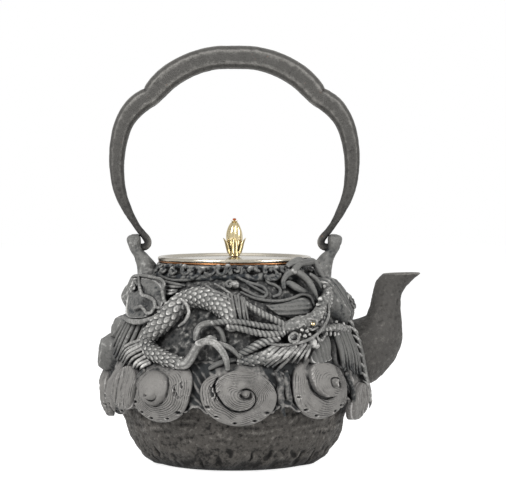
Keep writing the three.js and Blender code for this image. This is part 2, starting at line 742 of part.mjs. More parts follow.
// A disc whose face steps down along a spiral from its whorl to its rim. The spiral starts in the
// middle of the whorl and its last turn is the rim itself, so the face is one strip wound round.
function scrollDisc(scroll, grow) {
  const total = SCROLL_TURNS * SCROLL_STEPS;
  const rimStart = total - SCROLL_STEPS;
  const edge = (i) => Math.min(1, i / rimStart);
  const point = (i, proud) => {
    const share = edge(i);
    const a = (scroll.turn * i * 2 * Math.PI) / SCROLL_STEPS;
    const across = scroll.whorl[0] * (1 - share) + (scroll.wide + grow) * share * Math.cos(a);
    const up = scroll.whorl[1] * (1 - share) + (scroll.tall + grow) * share * Math.sin(a);
    return onWave(scroll, across, up, proud);
  };
  const lower = (i) => SCROLL_RIM + grow + scroll.cone * (1 - edge(i)) ** 1.3;
  const step = (i) => SCROLL_STEP * Math.min(1, (4 * i) / rimStart, (3 * (rimStart - i)) / rimStart);
  const upper = (i) => lower(i) + step(i);
  const points = [point(0, lower(0))];
  const high = [0];
  const low = [0];
  for (let i = 1; i < rimStart; i++) {
    high.push(points.push(point(i, upper(i))) - 1);
    low.push(points.push(point(i, lower(i))) - 1);
  }
  for (let i = rimStart; i < total; i++) high.push(points.push(point(i, lower(i))) - 1);
  high.push(high[rimStart]);
  low.push(high[rimStart]);
  const under = (share, j) => {
    const a = (scroll.turn * j * 2 * Math.PI) / SCROLL_STEPS;
    const across = (scroll.wide + grow) * share * Math.cos(a);
    const up = (scroll.tall + grow) * share * Math.sin(a);
    return points.push(onWave(scroll, across, up, SCROLL_BED - grow)) - 1;
  };
  const turns = Array.from({ length: SCROLL_STEPS }, (_, j) => j);
  const foot = turns.map((j) => under(1, j));
  const bed = turns.map((j) => under(0.5, j));
  const back = points.push(onWave(scroll, 0, 0, SCROLL_BED - grow)) - 1;

  const faces = [];
  for (let i = 1; i < SCROLL_STEPS; i++) faces.push([0, high[i], high[i + 1]]);
  for (let i = 0; i < rimStart; i++) {
    faces.push([low[i], high[i + SCROLL_STEPS], low[i + 1]]);
    faces.push([low[i + 1], high[i + SCROLL_STEPS], high[i + 1 + SCROLL_STEPS]]);
    if (i > 0) faces.push([high[i], low[i], low[i + 1]]);
    if (i < rimStart - 1) faces.push([high[i], low[i + 1], high[i + 1]]);
  }
  for (let j = 0; j < SCROLL_STEPS; j++) {
    const next = (j + 1) % SCROLL_STEPS;
    const rim = high[rimStart + j];
    const rimNext = high[rimStart + next];
    faces.push([rim, foot[j], foot[next]], [rim, foot[next], rimNext]);
    faces.push([foot[j], bed[j], bed[next]], [foot[j], bed[next], foot[next]], [bed[j], back, bed[next]]);
  }
  return solidFrom(points, faces);
}

// A cord along the shoulder that swells into knobs.
function cloudBorder(face, grow) {
  const path = Array.from({ length: 2 * BORDER_KNOBS + 1 }, (_, i) => {
    const knob = i % 2 === 1;
    const angle = BORDER_REACH * (i / BORDER_KNOBS - 1);
    const z = MOUTH_HEIGHT - BORDER_DROP + (knob ? Math.sin(1.9 * i) : 0);
    return [angle, z, 1, knob ? BORDER_KNOB_RADIUS : BORDER_RADIUS];
  });
  return strand(path, { face, steps: 2 * BORDER_KNOBS, sides: 6, grow, wrapped: true });
}

function dragonClaw(grow) {
  return fuse([
    strand(WRIST, { grow, steps: 5, sides: 7 }),
    strands(TALONS, { grow, steps: 4, sides: 5 }),
  ]);
}

function dragonHead(grow) {
  const at = (place) => onElevation(place, FRONT);
  return fuse([
    strand(SKULL, { grow, steps: 10, sides: 7 }),
    strand(LOWER_JAW, { grow, steps: 5, sides: 6 }),
    ball(CHEEK_RADIUS, at(CHEEK), grow),
    strand(THROAT, { grow, steps: 3, sides: 6 }),
  ]);
}

function hindLeg(grow) {
  return fuse([
    strand(BACK_LEG, { face: BACK, grow, steps: 5 }),
    strands(BACK_TALONS, { face: BACK, grow, steps: 3, sides: 5 }),
  ]);
}

function flower(grow) {
  const [angle, z, thick] = FLOWER;
  const turn = 1 / (DEGREE * radiusAt(wallLine, z));
  const rim = Array.from({ length: 2 * PETALS }, (_, i) => {
    const reach = FLOWER_RADIUS * (i % 2 ? 0.75 : 1.1);
    const a = (i * Math.PI) / PETALS;
    return [angle + reach * turn * Math.cos(a), z + reach * Math.sin(a)];
  });
  return plate(rim, { thick, crown: 1.6, samples: 2 * PETALS, grow, wrapped: true });
}

// A frond that hangs beside the spout's root, its edges notched into teeth.
function frond(side, grow) {
  const path = Array.from({ length: 2 * FROND_TEETH + 1 }, (_, i) => {
    const t = (i / (2 * FROND_TEETH)) * (FROND.length - 1);
    const k = Math.min(Math.floor(t), FROND.length - 2);
    const [angle, z, proud, radius] = FROND[k].map((v, j) => v + (FROND[k + 1][j] - v) * (t - k));
    return [90 + side * (angle - 90), z, proud, radius * (i % 2 ? 1 : FROND_WAIST)];
  });
  return strand(path, { grow, steps: 2 * FROND_TEETH, sides: 5, wrapped: true });
}

// One side of the bow as stations from the grip's middle down to the hook's end, in the plane y = 0.
function bowStations(side) {
  const place = (out, z) => new THREE.Vector3(side * (EAR_MIDDLE + out), 0, z);
  const stations = BOW_SECTIONS.map(({ out, up, thick, deep }) => {
    return { at: place(out, HINGE_HEIGHT + up), thick, deep };
  });
  const bendUp = HINGE_HEIGHT + HOOK_BEND;
  const round = { thick: 2 * HOOK_RADIUS, deep: 2 * HOOK_RADIUS };
  for (const turn of [160, 200, 235, 270]) {
    const a = turn * DEGREE;
    const at = place(-HOOK_BEND_IN + HOOK_BEND * Math.cos(a), bendUp + HOOK_BEND * Math.sin(a));
    stations.push({ at, ...round });
  }
  stations.push({ at: place(HOOK_END, HINGE_HEIGHT), ...round });
  return stations;
}

function handle() {
  const crown = { at: new THREE.Vector3(0, 0, HINGE_HEIGHT + BOW_HEIGHT), thick: BOW_THICK, deep: BOW_DEPTH };
  const stations = [...bowStations(-1).reverse(), crown, ...bowStations(1)];
  const rings = stations.map(({ at, thick, deep }, i) => {
    const before = stations[Math.max(i - 1, 0)].at;
    const after = stations[Math.min(i + 1, stations.length - 1)].at;
    const ahead = after.clone().sub(at).normalize();
    const behind = at.clone().sub(before).normalize();
    const along = ahead.add(behind).normalize();
    const across = new THREE.Vector3(-along.z, 0, along.x);
    const blunt = thick > 2 * HOOK_RADIUS + 1 ? BOW_SQUARENESS : 1;
    const bulge = (v) => Math.sign(v) * Math.abs(v) ** blunt;
    return Array.from({ length: BOW_SIDES }, (_, j) => {
      const a = ((j + 0.5) * 2 * Math.PI) / BOW_SIDES;
      const point = at.clone().addScaledVector(across, (thick / 2) * bulge(Math.cos(a)));
      point.y = (deep / 2) * bulge(Math.sin(a));
      return point;
    });
  });
  return loft(rings);
}

function lidPlate() {
  const hole = STEM_RADIUS + STEM_PLAY;
  const top = LID_SEAT + LID_RIM_HEIGHT;
  const plate = LID_SEAT + LID_PLATE;
  const inner = LID_RADIUS - LID_RIM_WIDTH;
  const start = [hole, LID_SEAT];
  return revolve(
    [
      start,
      [LID_RADIUS - 1, LID_SEAT],
      [LID_RADIUS, LID_SEAT + 1],
      [LID_RADIUS, top - 1],
      [LID_RADIUS - 0.8, top],
      [inner + 0.6, top],
      [inner - 0.8, plate],
      [LID_RADIUS / 2, plate + LID_CROWN * 0.6],
      [CALYX_RADIUS + 1, plate + LID_CROWN],
      [hole, plate + LID_CROWN],
      start,
    ],
    LID_SIDES,
  );
}

function lidSkirt() {
  const outer = MOUTH_RADIUS - LID_SKIRT_PLAY;
  const top = LID_SEAT - FIT;
  const start = [outer, top];
  const inner = outer - LID_SKIRT_WALL;
  const bottom = top - LID_SKIRT_DEPTH;
  return revolve([start, [inner, top], [inner, bottom], [outer, bottom], start], LID_SIDES);
}

function knobBud() {
  const rings = BUD_OUTLINE.map(([radius, up]) =>
    Array.from({ length: BUD_SIDES }, (_, i) => {
      const a = (i * 2 * Math.PI) / BUD_SIDES;
      const reach = radius * (1 + BUD_LOBE_DEPTH * Math.cos(BUD_LOBES * a));
      return new THREE.Vector3(reach * Math.cos(a), reach * Math.sin(a), KNOB_SEAT + up);
    }),
  );
  const hole = STEM_RADIUS + STEM_PLAY;
  const bore = revolve([[0, LID_SEAT], [hole, LID_SEAT], [hole, STEM_TOP], [0, STEM_TOP]], 12);
  return loft(rings).subtract(bore);
}

function knobCalyx() {
  const budLine = BUD_OUTLINE.map(([r, z]) => new THREE.Vector2(r, z));
  const budRadius = (up) => radiusAt(budLine, up) * (1 + BUD_LOBE_DEPTH);
  const hole = STEM_RADIUS + STEM_PLAY;
  const floor = BUD_START - FIT;
  const rim = budRadius(CALYX_HEIGHT) + FIT;
  const start = [hole, KNOB_SEAT];
  const cup = revolve(
    [
      start,
      [CALYX_RADIUS, KNOB_SEAT],
      [rim + 0.3, KNOB_SEAT + 0.4 * CALYX_HEIGHT],
      [rim + 0.6, KNOB_SEAT + CALYX_HEIGHT],
      [rim, KNOB_SEAT + CALYX_HEIGHT],
      [budRadius(BUD_START) + FIT, KNOB_SEAT + floor],
      [hole, KNOB_SEAT + floor],
      start,
    ],
    BUD_SIDES,
  );
  const sepals = Array.from({ length: SEPALS }, (_, k) => {
    const turn = ((k + 0.5) * 2 * Math.PI) / SEPALS;
    const rings = SEPAL_LINE.map(([gap, up, thick, wide]) =>
      Array.from({ length: SEPAL_SIDES }, (_, i) => {
        const a = (i * 2 * Math.PI) / SEPAL_SIDES;
        const out = budRadius(up) + FIT + gap + (thick / 2) * (1 + Math.cos(a));
        const aside = (wide / 2) * Math.sin(a);
        return new THREE.Vector3(
          out * Math.cos(turn) - aside * Math.sin(turn),
          out * Math.sin(turn) + aside * Math.cos(turn),
          KNOB_SEAT + up,
        );
      }),
    );
    return loft(rings);
  });
  return fuse([cup, ...sepals]);
}

// The stem is riveted over a washer under the lid.
function knobStem() {
  const washerTop = LID_SEAT - FIT;
  const headTop = washerTop - WASHER_HEIGHT - FIT;
  return revolve(
    [
      [0, headTop - RIVET_HEAD_HEIGHT],
      [RIVET_HEAD_RADIUS * 0.6, headTop - RIVET_HEAD_HEIGHT],
      [RIVET_HEAD_RADIUS, headTop - 0.4],
      [RIVET_HEAD_RADIUS, headTop],
      [STEM_RADIUS, headTop],
      [STEM_RADIUS, STEM_TOP - FIT],
      [0, STEM_TOP - FIT],
    ],
    12,
  );
}

function knobWasher() {
  const top = LID_SEAT - FIT;
  const hole = STEM_RADIUS + STEM_PLAY;
  const bottom = top - WASHER_HEIGHT;
  const start = [hole, top];
  return revolve([start, [hole, bottom], [WASHER_RADIUS, bottom], [WASHER_RADIUS, top], start], 20);
}

function knobFinial() {
  const seat = KNOB_SEAT + BUD_OUTLINE.at(-1)[1] + FIT;
  const top = seat + FINIAL_HEIGHT;
  const profile = [
    [0, seat],
    [FINIAL_RADIUS, seat],
    [FINIAL_RADIUS, top - 0.8],
    [FINIAL_RADIUS * 0.5, top - 0.2],
    [0, top],
  ];
  return revolve(profile, 12);
}

const IRON = { color: 0x565450, roughness: 0.82, metalness: 0.45 };
const RELIEF_IRON = { color: 0x66645f, roughness: 0.74, metalness: 0.5 };
const HANDLE_IRON = { color: 0x54534e, roughness: 0.78, metalness: 0.45 };
const SILVER = { color: 0xb6ae9b, roughness: 0.28, metalness: 0.9 };
const COPPER = { color: 0x8a5a38, roughness: 0.42, metalness: 0.85 };
const GOLD = { color: 0xb8944c, roughness: 0.16, metalness: 1 };
const RUST = { color: 0x7c3f28, roughness: 0.6, metalness: 0.3 };

const kettle = new THREE.Group();

function add(name, shape, look) {
  const { vertProperties, triVerts } = shape.getMesh();
  const geometry = new THREE.BufferGeometry();
  geometry.setAttribute("position", new THREE.BufferAttribute(vertProperties, 3));
  geometry.setIndex(new THREE.BufferAttribute(triVerts, 1));
  const mesh = new THREE.Mesh(geometry, new THREE.MeshStandardMaterial(look));
  mesh.name = name;
  kettle.add(mesh);
}

const numbered = (name, i) => `${name}_${String(i + 1).padStart(2, "0")}`;

// What is cast or set on the body, from the wall outwards: each piece gives its shape grown by a
// clearance, and is cut back where it meets the pieces before it.
const castings = [
  ["spout", spoutSkin],
  ["ear_left", (grow) => (grow > 0 ? earSkin(-1, grow) : ear(-1))],
  ["ear_right", (grow) => (grow > 0 ? earSkin(1, grow) : ear(1))],
  ["wave_skirt", waveSkirt],
  ...SCROLLS.map((scroll, i) => [numbered("wave_scroll", i), (grow) => scrollDisc(scroll, grow)]),
  ["cloud_border_front", (grow) => cloudBorder(FRONT, grow)],
  ["cloud_border_back", (grow) => cloudBorder(BACK, grow)],
  ["shoulder_shield", (grow) => plate(SHIELD, { thick: SHIELD_THICK, crown: 0.8, grow })],
  ["shoulder_plate", (grow) => plate(SIDE_PLATE, { thick: SIDE_PLATE_THICK, crown: 0.8, grow, wrapped: true })],
  ["cloud_leaf", (grow) => plate(CLOUD_LEAF, { thick: 1.6, crown: 1.6, grow })],
  ...LEAVES.map(({ rim, thick, crown }, i) => {
    return [numbered("side_leaf", i), (grow) => plate(rim, { thick, crown, grow, wrapped: true })];
  }),
  ["shoulder_flower", flower],
  ["shield_lip", (grow) => strand(SHIELD_LIP, { grow, sides: 6 })],
  ["shield_ribbon", (grow) => strand(SHIELD_RIBBON, { grow, steps: 7, sides: 5 })],
  ["dragon_arch", (grow) => strand(ARCH, { grow, steps: 9 })],
  ["dragon_foreleg", (grow) => strand(FORELEG, { grow, steps: 11, sides: 7 })],
  ["dragon_head", dragonHead],
  ["dragon_eye", (grow) => ball(EYE_RADIUS, onElevation(EYE, FRONT), grow)],
  ["dragon_claw", dragonClaw],
  ["dragon_mane", (grow) => fall(MANE, grow)],
  ["dragon_horn_upper", (grow) => strand(UPPER_HORN, { grow, steps: 8, sides: 6 })],
  ["dragon_horn_lower", (grow) => strand(LOWER_HORN, { grow, steps: 8, sides: 6 })],
  ["dragon_neck", (grow) => strand(NECK, { grow, steps: 6, sides: 6 })],
  ["dragon_whisker", (grow) => strand(WHISKER, { grow, steps: 12, sides: 6 })],
  ["dragon_beard", (grow) => fall(BEARD, grow)],
  ["dragon_upper_claw", (grow) => strands(UPPER_CLAW, { grow, steps: 4, sides: 5 })],
  ["dragon_hair", (grow) => fall(HAIR, grow)],
  ["dragon_fin", (grow) => fall(FIN, grow)],
  ["waterfall", (grow) => fall(WATERFALL, grow)],
  ["spout_frond_front", (grow) => frond(1, grow)],
  ["spout_frond_back", (grow) => frond(-1, grow)],
  ["dragon_tail", (grow) => strand(TAIL, { face: BACK, grow, steps: 20 })],
  ["dragon_tail_fin", (grow) => strands(TAIL_FIN, { face: BACK, grow, steps: 3, sides: 5 })],
  ["dragon_hind_leg", hindLeg],
  ...RIBBONS.map((path, i) => {
    return [numbered("cloud_ribbon", i), (grow) => strand(path, { grow, steps: 8, sides: 6 })];
  }),
  ...BACK_RIBBONS.map((path, i) => {
    return [numbered("back_ribbon", i), (grow) => strand(path, { face: BACK, grow, steps: 8, sides: 6 })];
  }),
];

const bore = spoutBore();
add("body_shell", kettleShell().subtract(bore), IRON);
let taken = bodyEnvelope();
for (const [name, shape] of castings) {
  const whole = name === "spout" ? shape(0).subtract(bore) : shape(0);
  const look = name === "spout" || name === "wave_skirt" ? IRON : name === "dragon_eye" ? GOLD : RELIEF_IRON;
  add(name, mainBody(whole.subtract(taken)), look);
  taken = taken.add(shape(FIT));
}

add("handle", handle(), HANDLE_IRON);
add("lid_plate", lidPlate(), SILVER);
add("lid_skirt", lidSkirt(), COPPER);
add("knob_calyx", knobCalyx(), GOLD);
add("knob_bud", knobBud(), GOLD);
add("knob_finial", knobFinial(), RUST);
add("knob_stem", knobStem(), COPPER);
add("knob_washer", knobWasher(), COPPER);

export default kettle;
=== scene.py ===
# A cast iron kettle with a dragon and waves in high relief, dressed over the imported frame.
# Lengths are in millimetres until a mesh is made. +Z is up, the spout points along +X, and the
# dragon's head is on the front, which faces -Y. Angles round the body are in degrees from the front,
# growing towards the spout.
import itertools
import math

import bpy
import numpy as np
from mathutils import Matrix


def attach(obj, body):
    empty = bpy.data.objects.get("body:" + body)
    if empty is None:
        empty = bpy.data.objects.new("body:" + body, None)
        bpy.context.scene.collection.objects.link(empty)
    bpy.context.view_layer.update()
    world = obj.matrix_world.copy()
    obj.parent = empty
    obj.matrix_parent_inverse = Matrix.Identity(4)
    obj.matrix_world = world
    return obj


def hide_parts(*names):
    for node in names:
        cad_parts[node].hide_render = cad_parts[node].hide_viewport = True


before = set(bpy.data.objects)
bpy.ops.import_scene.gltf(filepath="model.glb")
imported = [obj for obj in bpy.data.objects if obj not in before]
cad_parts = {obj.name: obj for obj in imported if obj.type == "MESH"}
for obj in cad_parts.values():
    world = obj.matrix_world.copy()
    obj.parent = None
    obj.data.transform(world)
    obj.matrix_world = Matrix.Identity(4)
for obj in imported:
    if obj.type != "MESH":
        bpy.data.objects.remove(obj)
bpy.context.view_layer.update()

MM = 0.001
FRONT = 0
BACK = 180
TURN = 2 * math.pi
QUARTER = TURN / 4

# Outline of the body's wall, radius and height, from the foot to the mouth
WALL_OUTLINE = [
    (44, 0), (49.5, 1.7), (55, 7), (58.4, 14), (61.8, 24), (64.4, 36), (65.6, 50), (64.6, 65), (62.2, 77),
    (58.8, 87), (54.4, 95.5), (49, 103), (45.4, 107.5), (43.5, 110),
]
MOUTH_RADIUS = 39.2
MOUTH_HEIGHT = 111
HINGE_HEIGHT = 119.5
EAR_MIDDLE = 55.2
LID_RADIUS = 43
LID_SEAT = 111.3
KNOB_SEAT = 114.3
KNOB_TOP = 133.9
KNOB_SEPALS = 5

SAME_POINT = 1e-6
SLOPE_STEP = 2.0
BLUNT = 0.9
CAP_STEPS = (0.2, 0.45, 0.7, 0.9, 1.0)
RIM_SHARES = (0.93, 0.965, 0.985, 0.996, 1.0, 1.0)
PLATE_SINK = 1.5
WIDE_SHOULDER = 0.2
SHARP_EDGE = 0.35
SOFT_EDGE = 0.7
# How far in mm a point must sink or stand out to reach the painted shade end or the painted highlight end
SHADE_AND_WEAR_SPAN = 0.55


# Lines and surfaces

def catmull(points, t):
    """Points on a centripetal Catmull-Rom line, at t from 0 to 1 counted by its given points."""
    p = np.asarray(points, float)
    p = np.vstack([2 * p[0] - p[1], p, 2 * p[-1] - p[-2]])
    place = np.clip(np.asarray(t, float), 0, 1) * (len(p) - 3)
    i = np.minimum(place.astype(int), len(p) - 4)
    w = (place - i)[:, None]
    a, b, c, d = p[i], p[i + 1], p[i + 2], p[i + 3]
    gaps = [np.linalg.norm(q - r, axis=1, keepdims=True) for q, r in ((b, a), (c, b), (d, c))]
    gaps = [np.maximum(gap, SAME_POINT) ** 0.5 for gap in gaps]
    k0 = np.zeros_like(gaps[0])
    k1 = k0 + gaps[0]
    k2 = k1 + gaps[1]
    k3 = k2 + gaps[2]
    k = k1 + w * gaps[1]
    ab = ((k1 - k) * a + (k - k0) * b) / (k1 - k0)
    bc = ((k2 - k) * b + (k - k1) * c) / (k2 - k1)
    cd = ((k3 - k) * c + (k - k2) * d) / (k3 - k2)
    abc = ((k2 - k) * ab + (k - k0) * bc) / (k2 - k0)
    bcd = ((k3 - k) * bc + (k - k1) * cd) / (k3 - k1)
    return ((k2 - k) * abc + (k - k1) * bcd) / (k2 - k1)


def run_along(line):
    """Distance along a line of points, from its start."""
    return np.concatenate([[0], np.cumsum(np.linalg.norm(np.diff(line, axis=0), axis=1))])


def even(table, count, axes=3):
    """Rows at equal steps along a smooth line. A row starts with its point, of up to this many axes."""
    fine = catmull(table, np.linspace(0, 1, 40 * len(table)))
    run = run_along(fine[:, :axes])
    at = np.linspace(0, run[-1], count)
    return np.stack([np.interp(at, run, column) for column in fine.T], axis=1)


def unit(vectors):
    return vectors / np.linalg.norm(vectors, axis=-1, keepdims=True)


def around(radius, angle, z):
    """Points at this distance from the axis, at an angle in radians from the front."""
    spots = np.broadcast_arrays(radius * np.sin(angle), -radius * np.cos(angle), z)
    return np.stack(spots, axis=-1)


def flat(x, z):
    """A point of a drawing, for noise that is worked out in its plane."""
    return np.stack([x, z, 0 * x], axis=-1)


def bell(x, width, power=2):
    """1 where x is 0, falling smoothly to 0 past the width."""
    return np.exp(-((x / width) ** power))


def rounded(v, power):
    """A sine or cosine of a section that turns from round to square as the power falls from 1."""
    return np.sign(v) * np.abs(v) ** power


WALL_LINE = catmull(WALL_OUTLINE, np.linspace(0, 1, 400))


def wall_radius(z):
    return np.interp(z, WALL_LINE[:, 1], WALL_LINE[:, 0])


def on_wall(angle, z, proud):
    """A point this far out from the wall, at an angle in degrees round it."""
    angle, z, proud = (np.asarray(v, float) for v in (angle, z, proud))
    run = wall_radius(z + SLOPE_STEP) - wall_radius(z - SLOPE_STEP)
    length = np.hypot(run, 2 * SLOPE_STEP)
    reach = wall_radius(z) + proud * 2 * SLOPE_STEP / length
    return around(reach, np.radians(angle), z - run / length * proud)


def on_elevation(x, z, proud, face=FRONT):
    """The same for a point drawn on an elevation that looks at the angle called face. It keeps the
    height at which it is drawn."""
    lift = on_wall(0.0, z, proud)[..., 2] - z
    z = z - lift
    reach = np.hypot(*np.moveaxis(on_wall(0.0, z, proud), -1, 0)[:2])
    return on_wall(face + np.degrees(np.arcsin(np.clip(x / reach, -1, 1))), z, proud)


SKEW = np.array([(0.74, -0.52, 0.43), (0.62, 0.76, -0.16), (-0.24, 0.39, 0.89)])


def noise(p, size, seed=0):
    """Smooth random values from -1 to 1 that vary over about size mm, on a lattice turned out of line
    with the axes."""
    q = np.asarray(p, float) @ SKEW / size + 37.7 * (seed + 1)
    cell = np.floor(q).astype(np.int64)
    f = q - cell
    f = f * f * (3 - 2 * f)
    total = np.zeros(q.shape[:-1])
    for corner in itertools.product((0, 1), repeat=3):
        c = cell + corner
        h = (c[..., 0] * 374761393 + c[..., 1] * 668265263 + c[..., 2] * 1442695041) & 0x7FFFFFFF
        h = ((h ^ (h >> 13)) * 1274126177) & 0x7FFFFFFF
        value = (h ^ (h >> 16)) / 0x7FFFFFFF
        weight = np.prod(np.where(corner, f, 1 - f), axis=-1)
        total += weight * value
    return 2 * total - 1


def soft_step(x):
    x = np.clip(x, 0, 1)
    return x * x * (3 - 2 * x)


def skin(rings, loop=False):
    """A closed surface through rings of points: ends closed by fans, or the last ring joined to the first."""
    rings = np.asarray(rings, float)
    rows, cols = rings.shape[:2]
    i = np.arange(rows if loop else rows - 1)[:, None]
    j = np.arange(cols)[None, :]
    far = (i + 1) % rows
    near_next = i * cols + (j + 1) % cols
    far_next = far * cols + (j + 1) % cols
    quads = np.stack([i * cols + j, near_next, far_next, far * cols + j], axis=-1).reshape(-1, 4)
    points = rings.reshape(-1, 3)
    faces = quads.tolist()
    if not loop:
        points = np.vstack([points, rings[0].mean(axis=0), rings[-1].mean(axis=0)])
        first, last = len(points) - 2, len(points) - 1
        base = (rows - 1) * cols
        for k in range(cols):
            n = (k + 1) % cols
            faces.append([first, n, k])
            faces.append([last, base + k, base + n])
    if volume(points, faces) < 0:
        faces = [face[::-1] for face in faces]
    return points, faces


def volume(points, faces):
    """Six times the volume inside a closed surface, negative where its faces look inwards."""
    triangles = [(face[0], *pair) for face in faces for pair in zip(face[1:-1], face[2:])]
    p = points[np.array(triangles)] - points.mean(axis=0)
    return (p[:, 0] * np.cross(p[:, 1], p[:, 2])).sum()


def ring_angles(count, first=0.5):
    """Equal angles round a circle, from this share of a step."""
    return (np.arange(count) + first) * TURN / count


def tube(path, face=FRONT, wrapped=False, sides=24, step=0.6, relief=None, squeeze=1.0):
    """A round strand along [x, z, height over the wall, radius] points. relief(s, a, radius) adds
    height at s mm along it and angle a round it; squeeze flattens it against the wall."""
    x, z, proud, radius = np.asarray(path, float).T
    place = on_wall(face + x, z, proud) if wrapped else on_elevation(x, z, proud, face)
    line = even(np.column_stack([place, radius]), max(8, int(run_along(place)[-1] / step)))
    at, radius = line[:, :3], line[:, 3]
    along = unit(np.gradient(at, axis=0))
    across = unit(np.cross(along, unit(at * [1, 1, 0])))
    over = np.cross(across, along)
    caps = [(math.sin(BLUNT * k * QUARTER), math.cos(BLUNT * k * QUARTER)) for k in CAP_STEPS]
    rows = [(0, -push * radius[0], share) for push, share in reversed(caps)]
    rows += [(i, 0.0, 1.0) for i in range(len(at))]
    rows += [(len(at) - 1, push * radius[-1], share) for push, share in caps]
    index, push, share = (np.array(column) for column in zip(*rows))
    a = ring_angles(sides)
    reach = (radius[index] * share)[:, None] * np.ones(sides)
    if relief is not None:
        s = (run_along(at)[index] + push)[:, None]
        reach = reach + share[:, None] * relief(s, a[None, :], radius[index][:, None])
    middle = at[index] + along[index] * push[:, None]
    ring = middle[:, None, :] + across[index][:, None, :] * (reach * np.cos(a))[..., None]
    return ring + over[index][:, None, :] * (squeeze * reach * np.sin(a))[..., None]


def strands(paths, **how):
    """A tube along each of the paths."""
    return [tube(path, **how) for path in paths]


def plate(rim, thick, crown, wrapped=False, relief=None, rings=26, samples=120, shoulder=0.12):
    """A plate on the wall inside a smooth closed rim, swelling by its crown towards the middle. Its edge
    rises over the shoulder, a share of the way to the middle."""
    loop = even(np.vstack([rim, rim[:1]]), samples + 1, 2)[:-1]
    middle = loop.mean(axis=0)
    share = np.concatenate([np.linspace(0.02, 0.88, rings - len(RIM_SHARES)), RIM_SHARES])
    edge_power = SHARP_EDGE if shoulder < WIDE_SHOULDER else SOFT_EDGE
    rise = np.clip((1 - share) / shoulder, 0, 1) ** edge_power
    spot = middle + (loop - middle)[None] * share[:, None, None]
    proud = (thick * rise + crown * (1 - share**2))[:, None] * np.ones(samples)
    if relief is not None:
        proud = proud + relief(spot[..., 0], spot[..., 1]) * rise[:, None]
    spot = np.concatenate([spot, spot[-1:], spot[:1]])
    proud = np.concatenate([proud, np.full((2, samples), -PLATE_SINK)])
    x, z = spot[..., 0], spot[..., 1]
    return on_wall(x, z, proud) if wrapped else on_elevation(x, z, proud)


def lathe(profile, sides, step=None):
    """Rings round Z through [radius, height] points, filled in to a step where one is given."""
    line = np.asarray(profile, float)
    if step:
        parts = []
        for p, q in zip(line[:-1], line[1:]):
            count = max(1, int(round(np.linalg.norm(q - p) / step)))
            parts.append(p + (q - p) * (np.arange(count) / count)[:, None])
        line = np.vstack(parts + [line[-1:]])
    a = ring_angles(sides, 0)
    spots = np.broadcast_arrays(line[:, :1] * np.cos(a), line[:, :1] * np.sin(a), line[:, 1:])
    return np.stack(spots, axis=-1)


# Materials

BLACK, WHITE = (0, 0, 0), (1, 1, 1)
COLOUR_INPUTS, COLOUR_OUTPUT = slice(6, 8), 2
RUST_COLOUR = (0.23, 0.075, 0.025)
# Painted shade: ambient occlusion darkens the colour towards these colours in crevices and between parts,
# within this reach in metres.
OCCLUSION_SHADE = [(0.25, (0.1, 0.105, 0.115)), (0.62, (0.72, 0.72, 0.73)), (0.9, WHITE)]
OCCLUSION_SHADE_REACH = 0.007


def grey(level):
    return (level, level, level)


def node(tree, kind, **values):
    made = tree.nodes.new(kind)
    for name, value in values.items():
        setattr(made, name, value)
    return made


def scaled_noise(tree, coord, scale, detail=4, rough=0.55):
    made = node(tree, "ShaderNodeTexNoise")
    made.inputs["Scale"].default_value = scale
    made.inputs["Detail"].default_value = detail
    made.inputs["Roughness"].default_value = rough
    tree.links.new(coord, made.inputs["Vector"])
    return made.outputs["Fac"]


def ramp(tree, value, stops):
    made = node(tree, "ShaderNodeValToRGB")
    elements = made.color_ramp.elements
    while len(elements) < len(stops):
        elements.new(0.5)
    for element, (place, colour) in zip(elements, stops):
        element.position = place
        element.color = (*colour, 1)
    tree.links.new(value, made.inputs["Fac"])
    return made.outputs["Color"]


def fill(tree, sockets, values):
    """Set each socket to its number or colour, or link it to its output."""
    for socket, value in zip(sockets, values):
        if isinstance(value, (int, float)):
            socket.default_value = value
        elif isinstance(value, tuple):
            socket.default_value = (*value, 1)
        else:
            tree.links.new(value, socket)


def math_node(tree, operation, first, second):
    made = node(tree, "ShaderNodeMath", operation=operation)
    fill(tree, made.inputs, (first, second))
    return made.outputs["Value"]


def spread(tree, value, amount):
    """A noise value moved to swing round 0 by half of this amount."""
    return math_node(tree, "MULTIPLY", math_node(tree, "SUBTRACT", value, 0.5), amount)


def most(tree, *values):
    """The largest of the outputs."""
    top = values[0]
    for value in values[1:]:
        top = math_node(tree, "MAXIMUM", value, top)
    return top


def mix(tree, factor, first, second, kind="MIX"):
    made = node(tree, "ShaderNodeMix", data_type="RGBA", blend_type=kind)
    fill(tree, (made.inputs["Factor"], *made.inputs[COLOUR_INPUTS]), (factor, first, second))
    return made.outputs[COLOUR_OUTPUT]


def new_material(name):
    material = bpy.data.materials.new(name)
    material.use_nodes = True
    tree = material.node_tree
    return material, tree, tree.nodes["Principled BSDF"]


def bump(tree, shader, height, distance, strength=1.0, below=None):
    made = node(tree, "ShaderNodeBump")
    made.inputs["Distance"].default_value = distance
    made.inputs["Strength"].default_value = strength
    tree.links.new(height, made.inputs["Height"])
    if below is not None:
        tree.links.new(below, made.inputs["Normal"])
    tree.links.new(made.outputs["Normal"], shader.inputs["Normal"])
    return made.outputs["Normal"]


